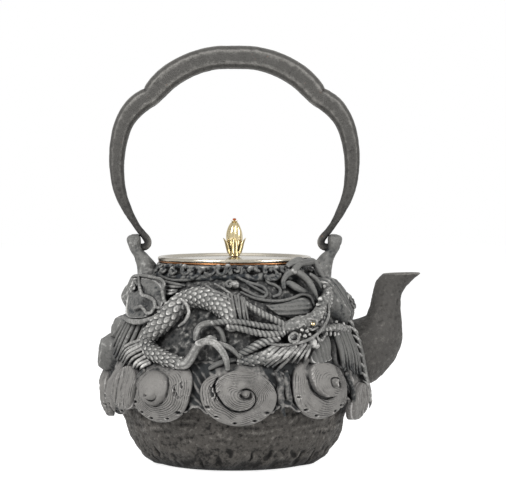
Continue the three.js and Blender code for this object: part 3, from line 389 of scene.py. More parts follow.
def iron(name, recess_shade, plain, rubbed_and_highlit, roughness, pits, rust=0.0, mottle=0.3, specks=0.34, depth=0.7):
    """Cast iron, sandy all over. Its colour is dark in its recesses as painted shade, and lighter where it
    stands proud from rubbed wear and a painted highlight.
    """
    material, tree, shader = new_material(name)
    coord = node(tree, "ShaderNodeTexCoord").outputs["Object"]
    # This attribute is partly rubbed wear and partly painted shade and painted highlight.
    wear_and_shade = node(tree, "ShaderNodeAttribute", attribute_name="wear_and_shade").outputs["Fac"]
    patch = scaled_noise(tree, coord, 90, 5)
    fine = scaled_noise(tree, coord, 800, 4, 0.7)
    level = math_node(tree, "ADD", wear_and_shade, spread(tree, patch, mottle))
    level = math_node(tree, "ADD", level, spread(tree, fine, specks))
    # The ramp runs from the painted shade of the recesses through plain iron to rubbed wear with a painted
    # highlight.
    colour = ramp(tree, level, [(0.12, recess_shade), (0.44, plain), (0.58, plain), (0.95, rubbed_and_highlit)])
    # Painted shade: the base colour is multiplied by ambient occlusion, dark in crevices and between parts.
    hollow = node(tree, "ShaderNodeAmbientOcclusion", samples=8)
    hollow.inputs["Distance"].default_value = OCCLUSION_SHADE_REACH
    colour = mix(tree, 1.0, colour, ramp(tree, hollow.outputs["AO"], OCCLUSION_SHADE), "MULTIPLY")
    if rust:
        stains = scaled_noise(tree, coord, 240, 6, 0.7)
        colour = mix(tree, ramp(tree, stains, [(0.66, BLACK), (0.74, grey(rust))]), colour, RUST_COLOUR)
    tree.links.new(colour, shader.inputs["Base Color"])
    shader.inputs["Metallic"].default_value = 0.2
    shader.inputs["Specular IOR Level"].default_value = 0.3
    rough = ramp(tree, level, [(0.1, grey(roughness + 0.16)), (0.9, grey(roughness - 0.16))])
    tree.links.new(rough, shader.inputs["Roughness"])
    low = bump(tree, shader, scaled_noise(tree, coord, 1400, 3, 0.6), 0.0006)
    cells = node(tree, "ShaderNodeTexVoronoi")
    cells.inputs["Scale"].default_value = 330
    tree.links.new(coord, cells.inputs["Vector"])
    pit = ramp(tree, cells.outputs["Distance"], [(0.0, BLACK), (0.24, WHITE)])
    low = bump(tree, shader, pit, 0.0003, pits, low)
    bump(tree, shader, scaled_noise(tree, coord, 420, 4, 0.65), 0.0008, depth, low)
    return material


def metal(name, colour, roughness, grain, grain_depth, tarnish=None):
    """Polished metal with dull patches and a fine grain."""
    material, tree, shader = new_material(name)
    coord = node(tree, "ShaderNodeTexCoord").outputs["Object"]
    patch = ramp(tree, scaled_noise(tree, coord, 60, 5), [(0.42, BLACK), (0.7, WHITE)])
    tint = tarnish or tuple(0.82 * c for c in colour)
    tree.links.new(mix(tree, patch, colour, tint), shader.inputs["Base Color"])
    shader.inputs["Metallic"].default_value = 1.0
    stops = [(0.3, grey(roughness * 0.8)), (0.7, grey(roughness * 1.3))]
    tree.links.new(ramp(tree, scaled_noise(tree, coord, 200, 4), stops), shader.inputs["Roughness"])
    bump(tree, shader, scaled_noise(tree, coord, grain, 3, 0.6), grain_depth, 0.5)
    return material


# In each iron the first colour is the painted shade of its recesses and the third is rubbed wear with a
# painted highlight.
BODY_IRON = iron(
    "bowl_iron", (0.012, 0.011, 0.01), (0.06, 0.055, 0.049), (0.16, 0.149, 0.135), 0.66, 0.9, specks=1.2,
    depth=1.0,
)
WALL_IRON = iron(
    "wall_iron", (0.01, 0.012, 0.013), (0.042, 0.042, 0.041), (0.25, 0.245, 0.23), 0.64, 0.9, specks=1.0,
)
RELIEF_IRON = iron(
    "relief_iron", (0.014, 0.017, 0.02), (0.125, 0.124, 0.118), (0.6, 0.59, 0.565), 0.55, 0.35, specks=0.45,
)
WAVE_IRON = iron(
    "wave_iron", (0.022, 0.024, 0.025), (0.17, 0.164, 0.155), (0.6, 0.58, 0.56), 0.58, 0.4, specks=0.5,
)
SPOUT_IRON = iron(
    "spout_iron", (0.018, 0.017, 0.015), (0.054, 0.051, 0.047), (0.15, 0.143, 0.13), 0.64, 0.5, mottle=0.2,
    specks=0.8,
)
HANDLE_IRON = iron(
    "handle_iron", (0.02, 0.019, 0.018), (0.055, 0.053, 0.049), (0.16, 0.154, 0.143), 0.62, 0.25, rust=0.5,
    mottle=0.2, specks=0.6,
)
SILVER = metal("silvered_plate", (0.4, 0.37, 0.31), 0.24, 500, 0.00004)
COPPER = metal("brown_copper", (0.36, 0.17, 0.075), 0.34, 500, 0.00005, tarnish=(0.16, 0.07, 0.035))
GOLD = metal("gilt", (0.56, 0.47, 0.28), 0.16, 400, 0.00003)
RED_GOLD = metal("red_patina", (0.3, 0.075, 0.025), 0.35, 500, 0.00005)


# Pieces

def wear_and_shade_values(mesh, rounds):
    """How far each point stands over its surroundings, from 0 to 1, with the piece's usual point at 0.5. As
    colour, low values are painted shade in hollows and high values are rubbed wear with a painted highlight.
    """
    count = len(mesh.vertices)
    edges = np.empty(2 * len(mesh.edges), np.int64)
    mesh.edges.foreach_get("vertices", edges)
    a, b = edges.reshape(-1, 2).T
    co = vertex_array(mesh, "co")
    degree = (np.bincount(a, minlength=count) + np.bincount(b, minlength=count))[:, None]
    soft = co.copy()
    for _ in range(rounds):
        total = np.zeros_like(soft)
        for k in range(3):
            total[:, k] = np.bincount(a, soft[b, k], count) + np.bincount(b, soft[a, k], count)
        soft = 0.5 * soft + 0.5 * total / degree
    lift = ((co - soft) * vertex_array(mesh, "normal")).sum(axis=1) / MM
    lift -= np.median(lift)
    # Hollows fall faster towards painted shade than proud edges rise towards the painted highlight.
    return np.clip(0.5 + np.where(lift > 0, 0.75, 1.0) * lift / SHADE_AND_WEAR_SPAN, 0, 1)


def vertex_array(mesh, name):
    values = np.empty(3 * len(mesh.vertices), np.float32)
    if name == "normal":
        mesh.vertex_normals.foreach_get("vector", values)
    else:
        mesh.vertices.foreach_get(name, values)
    return values.reshape(-1, 3).astype(float)


def piece(
    name, skins, material, slot, body="kettle", stands_for=None, grain=(0.0, 1.0), height=None, rounds=8,
):
    """A Blender object from one or more skins, roughened by grain = (depth, size) in mm."""
    points, faces, start = [], [], 0
    for part_points, part_faces in skins:
        points.append(part_points)
        faces += [[v + start for v in face] for face in part_faces]
        start += len(part_points)
    points = np.vstack(points)
    mesh = bpy.data.meshes.new(name)
    mesh.from_pydata((points * MM).tolist(), [], faces)
    mesh.update()
    if grain[0]:
        normals = vertex_array(mesh, "normal")
        depth, size = grain
        lift = depth * (0.65 * noise(points, size) + 0.35 * noise(points, size * 0.45, 1))
        mesh.vertices.foreach_set("co", ((points + normals * lift[:, None]) * MM).ravel())
        mesh.update()
    mesh.polygons.foreach_set("use_smooth", np.ones(len(mesh.polygons), bool))
    # This point attribute is partly rubbed wear and partly painted shade in hollows and painted highlight on
    # proud edges; the height function shifts it further.
    wear_and_shade = mesh.attributes.new("wear_and_shade", "FLOAT", "POINT")
    values = wear_and_shade_values(mesh, rounds)
    if height is not None:
        values = np.clip(values + height(points), 0, 1)
    wear_and_shade.data.foreach_set("value", values.astype(np.float32))
    mesh.materials.append(material)
    made = bpy.data.objects.new(name, mesh)
    bpy.context.scene.collection.objects.link(made)
    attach(made, body)
    if stands_for:
        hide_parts(*([stands_for] if isinstance(stands_for, str) else stands_for))
    return made


# Surface patterns: each gives a height in mm at s mm along a strand and angle a round it

def scattered(row, column):
    """A repeatable random value from 0 to 1 for each place in a pattern."""
    return (np.sin(12.9898 * row + 78.233 * column) * 43758.5453) % 1


def scales(size, count, lift):
    """Overlapping rounded scales whose free edges point along the strand, no two quite alike."""
    def relief(s, a, radius):
        u = s / size + 0 * a
        v = a * count / TURN + 0 * s
        k = np.floor(u)

        def tile(row):
            shifted = v + 0.5 * (row % 2)
            uneven = scattered(row, np.floor(shifted) % count)
            dv = shifted % 1 - 0.5
            edge = row + 1.54 + 0.16 * uneven - 0.62 * np.abs(2 * dv) ** 2.2
            return dv, edge, uneven

        dv_over, edge_over, uneven_over = tile(k - 1)
        dv_own, _, uneven_own = tile(k)
        over = u < edge_over
        local = np.where(over, u - k + 1, u - k) / 1.62
        dv = np.where(over, dv_over, dv_own)
        rim = np.where(over, np.clip((edge_over - u) / 0.2, 0, 1), 1) ** 0.6
        shape = (0.1 + 0.9 * local) * rim * (1 - 0.55 * (2 * dv) ** 2)
        return lift * (0.7 + 0.6 * np.where(over, uneven_over, uneven_own)) * (shape - 0.35)
    return relief


def twist(count, pitch, depth):
    """The lay of a rope of this many yarns."""
    def relief(s, a, radius):
        f = (count * a / TURN + s / pitch) % 1
        return depth * radius * (np.sin(math.pi * f) ** 0.7 - 0.6)
    return relief


def flutes(count, depth):
    """Fine lines along a strand."""
    def relief(s, a, radius):
        return depth * (np.abs(np.sin(count * a / 2)) ** 0.6 - 0.6)
    return relief


def knobbly(depth, size):
    """An uneven cast surface."""
    def relief(s, a, radius):
        p = np.stack(np.broadcast_arrays(s, radius * np.cos(a), radius * np.sin(a)), axis=-1)
        return depth * noise(p, size, 3)
    return relief


def blob(x, z, proud, wide, tall, deep, face=FRONT, sides=20):
    """A rounded lump on the wall."""
    at = on_elevation(float(x), float(z), float(proud), face)
    out = unit(at * [1, 1, 0])
    side = np.array([-out[1], out[0], 0])
    lat = np.linspace(-0.48, 0.48, sides // 2 + 3)[:, None] * math.pi
    lon = ring_angles(sides)[None, :]
    p = side * (wide * np.cos(lat) * np.cos(lon))[..., None]
    p = p + out * (deep * np.cos(lat) * np.sin(lon))[..., None]
    p = p + np.array([0, 0, 1]) * (tall * np.sin(lat) * np.ones_like(lon))[..., None]
    return skin(at + p)


def fan(roots, tips, count, radius, bow=0.0, lift=0.6, seed=1, wrapped=False):
    """Tapering strands side by side, from one line of [x, z, proud] points to another."""
    random = np.random.default_rng(seed)
    share = np.linspace(0, 1, count)
    made = []
    for start, end in zip(catmull(roots, share), catmull(tips, share)):
        start = start + random.uniform(-0.3, 0.3, 3)
        end = end + random.uniform(-0.7, 0.7, 3) * [1, 1, 0.4]
        across = np.array([end[1] - start[1], start[0] - end[0], 0])
        middle = 0.45 * start + 0.55 * end + bow * across + [0, 0, lift]
        thick = radius * random.uniform(0.85, 1.15)
        path = [[*start, thick], [*middle, thick * 0.95], [*end, thick * 0.5]]
        made.append(skin(tube(path, wrapped=wrapped, sides=12, step=0.8)))
    return made


# Body

BOWL_SIDES = 480
OUTER_ROWS = 150
INNER_ROWS = 30
LIP_START = 109.8
RELIEF_START = 50
FISSURES = 32
INSIDE_OUTLINE = [
    (44.5, 102.6), (52.0, 94.5), (57.6, 84), (60.8, 70), (62.0, 52), (60, 32), (55.8, 15), (50, 7),
]


def cast_bowl(p, r, foot):
    """Lumps, layers and fissures of the bare casting, rougher towards the foot."""
    random = np.random.default_rng(11)
    z = p[..., 2]
    turn = np.degrees(np.arctan2(p[..., 0], -p[..., 1]))
    layered = p * [0.4, 0.4, 1.8]
    d = 0.9 * noise(p, 10, 2) + 0.8 * noise(p, 5, 3) * (0.6 + foot)
    d += 0.24 * noise(p, 2.2, 5)
    d += 0.16 * noise(p, 1.1, 9)
    d += 0.4 * noise(layered, 4, 4) * soft_step((z - 12) / 10)
    for k in range(FISSURES):
        at = 360 * (k + random.uniform(-0.45, 0.45)) / FISSURES - 180
        middle = random.uniform(3, 11)
        wide, tall = random.uniform(0.7, 1.9), random.uniform(2, 4.5)
        bend = turn - at - 1.8 * noise(p, 4, 20 + k)
        away = ((bend + 180) % 360 - 180) * np.radians(1) * r
        d -= random.uniform(1.2, 2.6) * np.exp(-((away / wide) ** 2) - ((z - middle) / tall) ** 2)
    return d


def pitted_wall(p):
    return 0.4 * noise(p, 1.6, 6) + 0.5 * noise(p, 3.2, 7) - 0.5 * soft_step(2 * noise(p, 2.4, 8) - 0.5)


def body_shell():
    outer = WALL_LINE[WALL_LINE[:, 1] < LIP_START]
    underside = [(1, 0), (30, 0)]
    lip = [
        (43.5, 110.4), (43.0, MOUTH_HEIGHT), (39.8, MOUTH_HEIGHT), (MOUTH_RADIUS, 110.5),
        (MOUTH_RADIUS, 106.2),
    ]
    inside = [*even(INSIDE_OUTLINE, INNER_ROWS), (46, 4.2), (30, 4), (1, 4)]
    profile = [*underside, *even(outer, OUTER_ROWS), *lip, *inside]
    rings = lathe(profile, BOWL_SIDES)
    r = np.hypot(rings[..., 0], rings[..., 1])
    z = rings[..., 2]
    foot = soft_step((17 - z) / 12)
    depth = np.where(z > RELIEF_START, pitted_wall(rings), cast_bowl(rings, r, foot))
    outside = (np.arange(len(profile)) < len(underside) + OUTER_ROWS)[:, None] & (z > 0.4) & (z < 109)
    depth = np.where(outside, depth - 0.4 * foot, 0.0)
    rings[..., :2] *= (1 + depth / np.maximum(r, 1))[..., None]

    def darker_towards_foot(points):
        """The bowl darkens towards its foot, and the wall under the relief is even."""
        return -0.3 * soft_step((22 - points[:, 2]) / 20)

    made = piece("kettle_body", [skin(rings)], BODY_IRON, "body_iron", "kettle", "body_shell", height=darker_towards_foot)
    made.data.materials.append(WALL_IRON)
    for face in made.data.polygons:
        if face.center[2] > WAVE_SEAT * MM:
            face.material_index = 1


# Upper and lower end of each cut across the spout, as [x, z], and its width
SPOUT_SECTIONS = [
    ((56, 80), (56, 41), 36), ((67, 79), (74, 42), 35), ((73.4, 81), (83, 48), 31),
    ((75.2, 84), (90.4, 57), 27), ((76.3, 87), (94.2, 67.5), 23), ((77, 90.5), (93.9, 77.5), 20),
    ((77.8, 94.5), (93.1, 87), 18), ((79, 99), (94.6, 94.5), 17), ((80.9, 102.4), (98.9, 99.9), 17),
    ((82.9, 104.4), (104.4, 105), 17.4),
]
SPOUT_LIP = [(0.15, 0.0), (0.6, -0.25), (1.5, -0.2), (2.1, 0.3)]
SPOUT_WALL = 2.4


def spout_ring(row, inset, sink=0.0):
    """A level oval of the spout, this far inside its outline and this much lower."""
    a = ring_angles(72, 0)
    upper, lower, wide = row[:2], row[2:4], row[4]
    half = np.linalg.norm(upper - lower) / 2
    along = np.cos(a) * (half - inset) / half
    middle, arm = (upper + lower) / 2, (upper - lower) / 2
    x = middle[0] + arm[0] * along
    return np.stack([x, np.sin(a) * (wide / 2 - inset), middle[1] + arm[1] * along - sink], axis=-1)


def spout():
    table = np.array([[*upper, *lower, wide] for upper, lower, wide in SPOUT_SECTIONS], float)
    fine = catmull(table, np.linspace(0, 1, 120))
    outside = [spout_ring(row, 0.0) for row in fine[:-1]]
    lip = [spout_ring(fine[-1], inset, sink) for inset, sink in SPOUT_LIP]
    bore = [spout_ring(row, SPOUT_WALL) for row in fine[-3:30:-6]]
    rings = np.array(outside + lip + bore)
    out = unit(rings - rings.mean(axis=1, keepdims=True))
    depth = 0.2 * noise(rings, 1.6) + 0.28 * noise(rings, 5, 1)
    depth[len(outside):] = 0
    rings = rings + out * depth[..., None]
    piece("spout_body", [skin(rings)], SPOUT_IRON, "body_iron", stands_for="spout")


# Each cut of an ear: its middle's place out from the hinge, its height over it, its width and depth
EAR_SECTIONS = [
    (-9.2, -27, 14, 22), (-7.6, -17.5, 13.4, 20), (-6.2, -11, 11.6, 17), (-3.4, -5.5, 8.8, 13),
    (0, -1, 7.0, 11), (1.0, 2.5, 7.8, 11), (1.2, 4.6, 8, 10.4), (1.1, 6.2, 6.8, 8.4), (0.6, 7.2, 3, 4),
]
EAR_ROUND = 0.85
EAR_HOLE = 2.5


def ear(side, name):
    fine = catmull(EAR_SECTIONS, np.linspace(0, 1, 46))
    a = ring_angles(48, 0)
    rings = np.stack([
        side * (EAR_MIDDLE + fine[:, :1] + fine[:, 2:3] / 2 * rounded(np.cos(a), EAR_ROUND)),
        fine[:, 3:] / 2 * rounded(np.sin(a), EAR_ROUND),
        HINGE_HEIGHT + fine[:, 1:2] + 0 * a,
    ], axis=-1)
    rim = np.clip(1 - np.abs(fine[:, 1:2] - 3) / 5, 0, 1)
    rings[..., 1] *= 1 + 0.1 * rim * np.abs(np.sin(a))
    made = piece(name + "_lug", [skin(rings)], RELIEF_IRON, "relief_iron", "kettle", name, grain=(0.35, 2.6))
    points, faces = skin(lathe([(EAR_HOLE, -20), (EAR_HOLE, 20)], 32))
    points = points[:, [2, 1, 0]] + [side * EAR_MIDDLE, 0, HINGE_HEIGHT]
    cutter_mesh = bpy.data.meshes.new(name + "_hole")
    cutter_mesh.from_pydata((points * MM).tolist(), [], [face[::-1] for face in faces])
    cutter = bpy.data.objects.new(name + "_hole", cutter_mesh)
    bpy.context.scene.collection.objects.link(cutter)
    cut = made.modifiers.new("hole", "BOOLEAN")
    cut.operation = "DIFFERENCE"
    cut.object = cutter
    bpy.context.view_layer.objects.active = made
    with bpy.context.temp_override(object=made, active_object=made, selected_objects=[made]):
        bpy.ops.object.modifier_apply(modifier=cut.name)
    bpy.data.objects.remove(cutter)


# Handle

# Half of the bow, each cut as [out from the ear's middle, height over the hinge, thickness, depth]
BOW_SECTIONS = [
    (-44.2, 105.7, 12.9, 15), (-34.2, 103.3, 13, 15), (-25.2, 99.3, 13.2, 15), (-17.2, 93.9, 13.2, 15),
    (-11.4, 88, 12.6, 15), (-8.4, 84.3, 11.2, 15), (-4.8, 82.3, 11.6, 15), (0.6, 78.1, 11.6, 14.4),
    (6.4, 69.7, 10.3, 13.4), (9.9, 57, 9.2, 12.2), (10.6, 43.5, 8, 11), (8.8, 31, 6.8, 9.4),
    (4.8, 21, 5.2, 7.4), (-0.6, 11.6, 3.7, 5.2),
]
BOW_TOP = (0, HINGE_HEIGHT + 106.1, 12.8, 15)
HOOK_BEND = 2.7
HOOK_WIDTH = 4.2


def handle():
    side = [(EAR_MIDDLE + out, HINGE_HEIGHT + up, thick, deep) for out, up, thick, deep in BOW_SECTIONS]
    for turn in (160, 200, 235, 270):
        a = math.radians(turn)
        x = EAR_MIDDLE - 4 + HOOK_BEND * math.cos(a)
        side.append((x, HINGE_HEIGHT + HOOK_BEND + HOOK_BEND * math.sin(a), HOOK_WIDTH, HOOK_WIDTH))
    side.append((EAR_MIDDLE + 1.6, HINGE_HEIGHT, HOOK_WIDTH, HOOK_WIDTH))
    left = [(-x, z, thick, deep) for x, z, thick, deep in side]
    fine = even([*left[::-1], BOW_TOP, *side], 330, 2)
    at = np.stack([fine[:, 0], 0 * fine[:, 0], fine[:, 1]], axis=-1)
    along = unit(np.gradient(at, axis=0))
    across = np.stack([-along[:, 2], 0 * along[:, 0], along[:, 0]], axis=-1)
    a = ring_angles(40)
    thick, deep = fine[:, 2:3], fine[:, 3:4]
    square = 1 - 0.42 * np.clip((thick - 4.4) / 3, 0, 1)
    c, s = rounded(np.cos(a), square), rounded(np.sin(a), square)
    chamfer = np.clip(np.abs(c) + np.abs(s) - 1.52, 0, 1) * 0.42
    c, s = c * (1 - chamfer), s * (1 - chamfer)
    rings = at[:, None] + across[:, None] * (thick / 2 * c)[..., None]
    rings[..., 1] += deep / 2 * s
    looks = {"grain": (0.16, 2.2), "rounds": 14}
    piece("handle_bow", [skin(rings)], HANDLE_IRON, "handle_iron", "handle", "handle", **looks)


# Lid and knob, their outlines as [radius, height over the seat]

LID_OUTLINE = [
    (1.9, 0), (30, 0), (41, 0), (41.8, 0.9), (42.5, 0.9), (LID_RADIUS - 0.15, 1.25), (LID_RADIUS, 1.8),
    (LID_RADIUS - 0.1, 2.7), (42.5, 3.1), (41.8, 3.2), (40.9, 3.05), (40.3, 2.6), (39.8, 1.9), (38.6, 1.52),
    (30, 1.8), (21, 2.22), (10, 2.62), (3.9, 2.7), (1.9, 2.7),
]
COPPER_EDGE = [(41.2, 0.05), (42.5, 0.1), (42.75, 0.5), (42.5, 0.95), (41.2, 0.95)]
SKIRT_TOP = 111.0
SKIRT_OUTLINE = [(38.6, 0), (37.1, 0), (37.1, -6.6), (37.5, -7), (38.2, -7), (38.6, -6.5)]


def turned(outline, seat, sides, step=None):
    """Rings of an outline turned round the axis, at the height of its seat."""
    return lathe([(radius, seat + height) for radius, height in outline], sides, step)


def lid():
    dish = skin(turned(LID_OUTLINE, LID_SEAT, 180, 1.2), loop=True)
    piece("lid_dish", [dish], SILVER, "silvered_lid", "lid", "lid_plate")
    ring = skin(turned(COPPER_EDGE, LID_SEAT, 180), loop=True)
    piece("lid_copper_ring", [ring], COPPER, "copper", "lid")
    skirt = skin(turned(SKIRT_OUTLINE, SKIRT_TOP, 180, 1.0), loop=True)
    piece("lid_skirt_ring", [skirt], COPPER, "copper", "lid", "lid_skirt")


CUP_OUTLINE = [
    (1.95, 0), (2.9, 0), (3.3, 0.5), (3.2, 1.2), (3.6, 2.2), (3.5, 3.4), (3.2, 3.4), (2.7, 1.2),
    (1.95, 1.1),
]
DISC_OUTLINE = [(0.6, 0), (1.9, 0.1), (2.05, 0.3), (1.8, 0.5), (0.6, 0.55)]
BEAD_OUTLINE = [(0.4, 0.5), (0.85, 0.75), (1.05, 1.15), (0.9, 1.6), (0.3, 1.8)]
# The middle line of a sepal, as [radius, height, thickness, half width]
SEPAL = [(3.5, 1.6, 0.5, 1.5), (4.2, 4.6, 0.75, 2.1), (5.2, 8, 0.6, 1.7), (6.5, 10.4, 0.25, 0.4)]
BUD_OUTLINE = [
    (2.2, 1.4), (2.7, 3.4), (3.8, 6.4), (4.5, 10), (4.3, 13.4), (3.4, 16.4), (2.2, 18.6), (1.2, 19.6),
]


def knob():
    fine = catmull(BUD_OUTLINE, np.linspace(0, 1, 60))
    a = ring_angles(100, 0)
    level = np.linspace(0, 1, 60)[:, None]
    lobe = 1 + 0.08 * (2 * np.abs(np.cos(KNOB_SEPALS / 2 * (a - 0.9 * level))) ** 0.6 - 1.35)
    reach = fine[:, :1] * lobe
    bud = np.stack([reach * np.cos(a), reach * np.sin(a), KNOB_SEAT + fine[:, 1:] + 0 * a], axis=-1)
    piece("knob_bud_gilt", [skin(bud)], GOLD, "gilt", "knob", "knob_bud")
    parts = [skin(turned(CUP_OUTLINE, KNOB_SEAT, 60), loop=True)]
    parts += [sepal((k + 0.5) * TURN / KNOB_SEPALS + 0.35) for k in range(KNOB_SEPALS)]
    piece("knob_calyx_gilt", parts, GOLD, "gilt", "knob", "knob_calyx")
    piece("knob_disc", [skin(turned(DISC_OUTLINE, KNOB_TOP, 48))], GOLD, "gilt", "knob")
    bead = skin(turned(BEAD_OUTLINE, KNOB_TOP, 40))
    piece("knob_bead", [bead], RED_GOLD, "red_finial", "knob", "knob_finial")


def sepal(turn):
    """A curved leaf of the calyx, at an angle in radians round the knob."""
    line = catmull(SEPAL, np.linspace(0, 1, 26))
    b = ring_angles(18)
    side = line[:, 3:] * np.sin(b)
    out = line[:, :1] + line[:, 2:3] * np.cos(b) - 0.12 * side**2
    x = out * math.cos(turn) - side * math.sin(turn)
    y = out * math.sin(turn) + side * math.cos(turn)
    return skin(np.stack([x, y, KNOB_SEAT + line[:, 1:2] + 0 * b], axis=-1))


# Waves

WAVE_OUTLINE = [(71.6, 26), (73, 31), (74.2, 37), (74, 44), (71.8, 52), (68, 60)]
WAVE_TOP = 61.5
WAVE_SEAT = 48
WAVE_CUSP = 37
WAVE_DROP = 4
WAVE_EDGE = 3.2
WAVE_LINE = catmull(WAVE_OUTLINE, np.linspace(0, 1, 120))
SCROLL_RIM = 1.9
PLAIN_ARM = (0, 0.14, 0.27, 0.42, 0.55, 0.7, 0.86, 1.03)
LOW_ARM = (0, 0.1, 0.17, 0.24, 0.49, 0.57, 0.99, 1.1)
DEEP_ARM = (0.1, 0.13, 0.19, 0.26, 0.36, 0.54, 0.84, 1.08)
DISC_EDGE = (0.975, 0.984, 0.991, 0.997, 1.0)
FRONT_SCROLLS = 3
RIM_PITS = 5
SCROLL_SINK = 1.8
DISC_DEPTH = 2.2
INNER_LAP = 0.55
# Each scroll: angle and height of its middle, half width, half height, where its whorl lies, which way
# its step winds out (1 anticlockwise), the quarter turn where that starts, how far out it is at each
# quarter turn as a share of the disc, its height, the dome's height, what is in its middle, and the
# direction in which the disc runs out into the water beside it, with how far as a share.
SCROLLS = [
    (-33.5, 43.6, 19, 15.4, (-1.2, 0), 1, 3, (), 1.4, 0.8, "tip", (0.75, 0.24)),
    (2.6, 42.6, 20.4, 15, (3.4, 2.3), -1, 3, LOW_ARM, 1.9, 0.7, "knob", (2.6, 0.13)),
    (41.4, 45.2, 19.6, 15.8, (7.4, 3.2), -1, 3, DEEP_ARM, 3.4, 0.7, "hollow", (2.1, 0.16)),
    (71, 35.5, 12.6, 10.4, (2, 1), 1, 0, (), 1.4, 1.6, "shell", (1, 0)),
    (106, 35.5, 12.6, 10.4, (-2, 1), -1, 1, PLAIN_ARM, 2, 2, "knob", (1, 0)),
    (139, 44.6, 18.2, 15.4, (-7, 3), 1, 3, DEEP_ARM, 2.8, 2.2, "hollow", (0.9, 0.14)),
    (177, 42.6, 19.6, 15, (-4, 2), 1, 3, LOW_ARM, 1.8, 0.6, "knob", (0.5, 0.12)),
    (214, 43.6, 18, 15.2, (2.7, 0.9), -1, 3, (), 1.4, 0.8, "tip", (2.3, 0.2)),
    (246, 40.4, 14, 14, (2, 0), 1, 1, PLAIN_ARM, 2, 2, "knob", (1, 0)),
    (271, 38.8, 12.6, 14.2, (-1, -2), -1, 0, (), 2, 1.6, "plain", (1, 0)),
    (298, 42.4, 14.2, 13, (-3, 1), 1, 3, (), 1.4, 1, "plain", (1, 0)),
]

# The small shell that overlaps the last scroll
SMALL_SHELL = (306.5, 45.4, 11, 12, (2, 1), -1, 0, (), 1.4, 1.4, "shell", (1, 0))


def wave_radius(z):
    return np.interp(z, WAVE_LINE[:, 1], WAVE_LINE[:, 0])


def scroll_reach(angle):
    """For each scroll, how far an angle lies from its middle, as a share of its half width."""
    degree = math.radians(WAVE_OUTLINE[2][0])
    return [(s, np.abs((angle - s[0] + 540) % 360 - 180) * degree / s[2]) for s in SCROLLS]


def wave_hem(angle):
    """Height of the sheet's lower edge, and how far each angle is from the nearest scroll."""
    hem = np.full_like(angle, WAVE_CUSP)
    gap = np.full_like(angle, 9.0)
    for scroll, share in scroll_reach(angle):
        drop = (scroll[3] - WAVE_DROP) * np.sqrt(np.clip(1 - share**2, 0, 1))
        hem = np.minimum(hem, scroll[1] - drop)
        gap = np.minimum(gap, share)
    hem = hem + 3.6 * soft_step((gap - 0.85) / 0.3) - 1.6 * np.clip((gap - 0.6) / 0.2, 0, 1)
    return hem + 1.3 * np.clip(gap - 0.8, 0, 0.4) * np.sin(9 * np.radians(angle)), gap


def wave_skirt():
    """The sheet behind the scrolls: full under them, and drawn in to folds between them, which are darkened
    by painted shade.
    """
    angle = np.linspace(0, 360, 1200, endpoint=False)[:, None]
    hem, gap = wave_hem(angle)
    level = np.concatenate([[0.0, 0.004, 0.012, 0.03], np.linspace(0.06, 1, 44)])[None, :]
    z = hem + level * (WAVE_TOP - hem)
    a = np.radians(angle)
    p = around(70, a, z)
    slope = np.clip((z - 41) / 17, 0, 1)
    full = wave_radius(z) - wall_radius(z)
    near = np.clip((gap - 0.55) / 0.35, 0, 1)
    drawn_in = near * (0.45 + 0.55 * slope) * np.clip((z - hem) / 5, 0, 1) ** 0.7
    ridge = np.sin(17 * a + 0.26 * z + 1.4 * noise(p, 13, 8))
    folds = near * np.sin(math.pi * np.clip(level, 0, 1)) * (1.5 * np.abs(ridge) ** 0.7 - 0.6)
    folds += near * 0.3 * np.sin(88 * a + 1.1 * z + 2 * noise(p, 6, 10))
    lip = 0.3 * bell(z - hem - 0.9, 0.6) - 0.9 * np.clip(1 - (z - hem) / 0.5, 0, 1)
    closed_in = (1 - 0.7 * drawn_in) * (1 - np.clip((z - 57) / 4.5, 0, 1) ** 2)
    r = wall_radius(z) + full * closed_in + folds + lip
    r -= SCROLL_SINK * soft_step((56 - z) / 6) * (1 - 0.4 * near)
    r += 0.35 * noise(p, 2.6, 9) - 0.6 * np.clip((z - 60.6) / 0.9, 0, 1)
    edge = wave_radius(hem)
    inside = [
        around(wall_radius(WAVE_TOP) - 1.2, a, WAVE_TOP), around(wall_radius(WAVE_SEAT) - 1, a, WAVE_SEAT),
        around(edge - WAVE_EDGE, a, hem + 0.3), around(edge - 1.6, a, hem - 0.1),
    ]
    rings = np.concatenate([around(r, a, z), *inside], axis=1)

    def shaded(points):
        """Painted shade, dark between the scrolls and under the relief above them."""
        turn = np.degrees(np.arctan2(points[:, 0], -points[:, 1]))
        nearest = np.min([share for _, share in scroll_reach(turn)], axis=0)
        low = soft_step((39 - points[:, 2]) / 3)
        between = (-0.3 - 0.15 * low) * soft_step((nearest - 0.6) / 0.35)
        return between - 0.3 * soft_step((points[:, 2] - 50) / 8)

    sheet = skin(rings, loop=True)
    piece("waves", [sheet], WAVE_IRON, "body_iron", "kettle", "wave_skirt", height=shaded, rounds=14)


def whorl_height(kind, x, z):
    """Height of what is in the middle of a whorl, at x and z mm from it."""
    reach = np.hypot(x, z)
    if kind == "tip":
        rise = np.sin(np.arctan2(z, x))
        groove = bell(reach - 3.4 - 0.3 * rise, 0.55) * (0.6 - 0.4 * rise)
        return 2.8 * bell(reach, 2.6) - 1.9 * groove - 2.6 * bell(x + 1.2, 1.5) * bell(z + 0.1, 0.6)
    if kind == "knob":
        return 1.2 * bell(reach, 1.5, 4) - 2.0 * bell(reach - 2.4, 0.8)
    if kind == "hollow":
        return 0.9 * bell(reach - 3.1, 0.8) - 6.5 * bell(reach, 2.1, 4)
    return 0.0


def engraving(winding, p, seed):
    """Fine lines along the winding, which fade here and there."""
    lines = 0.42 * bell(winding % 1 - 0.5, 0.13) * soft_step(0.7 + 1.2 * noise(p, 4.5, seed + 1))
    between = bell((1.7 * winding + 0.3) % 1 - 0.5, 0.16) * soft_step(0.4 + 1.2 * noise(p, 4, seed + 6))
    return -lines - 0.2 * between


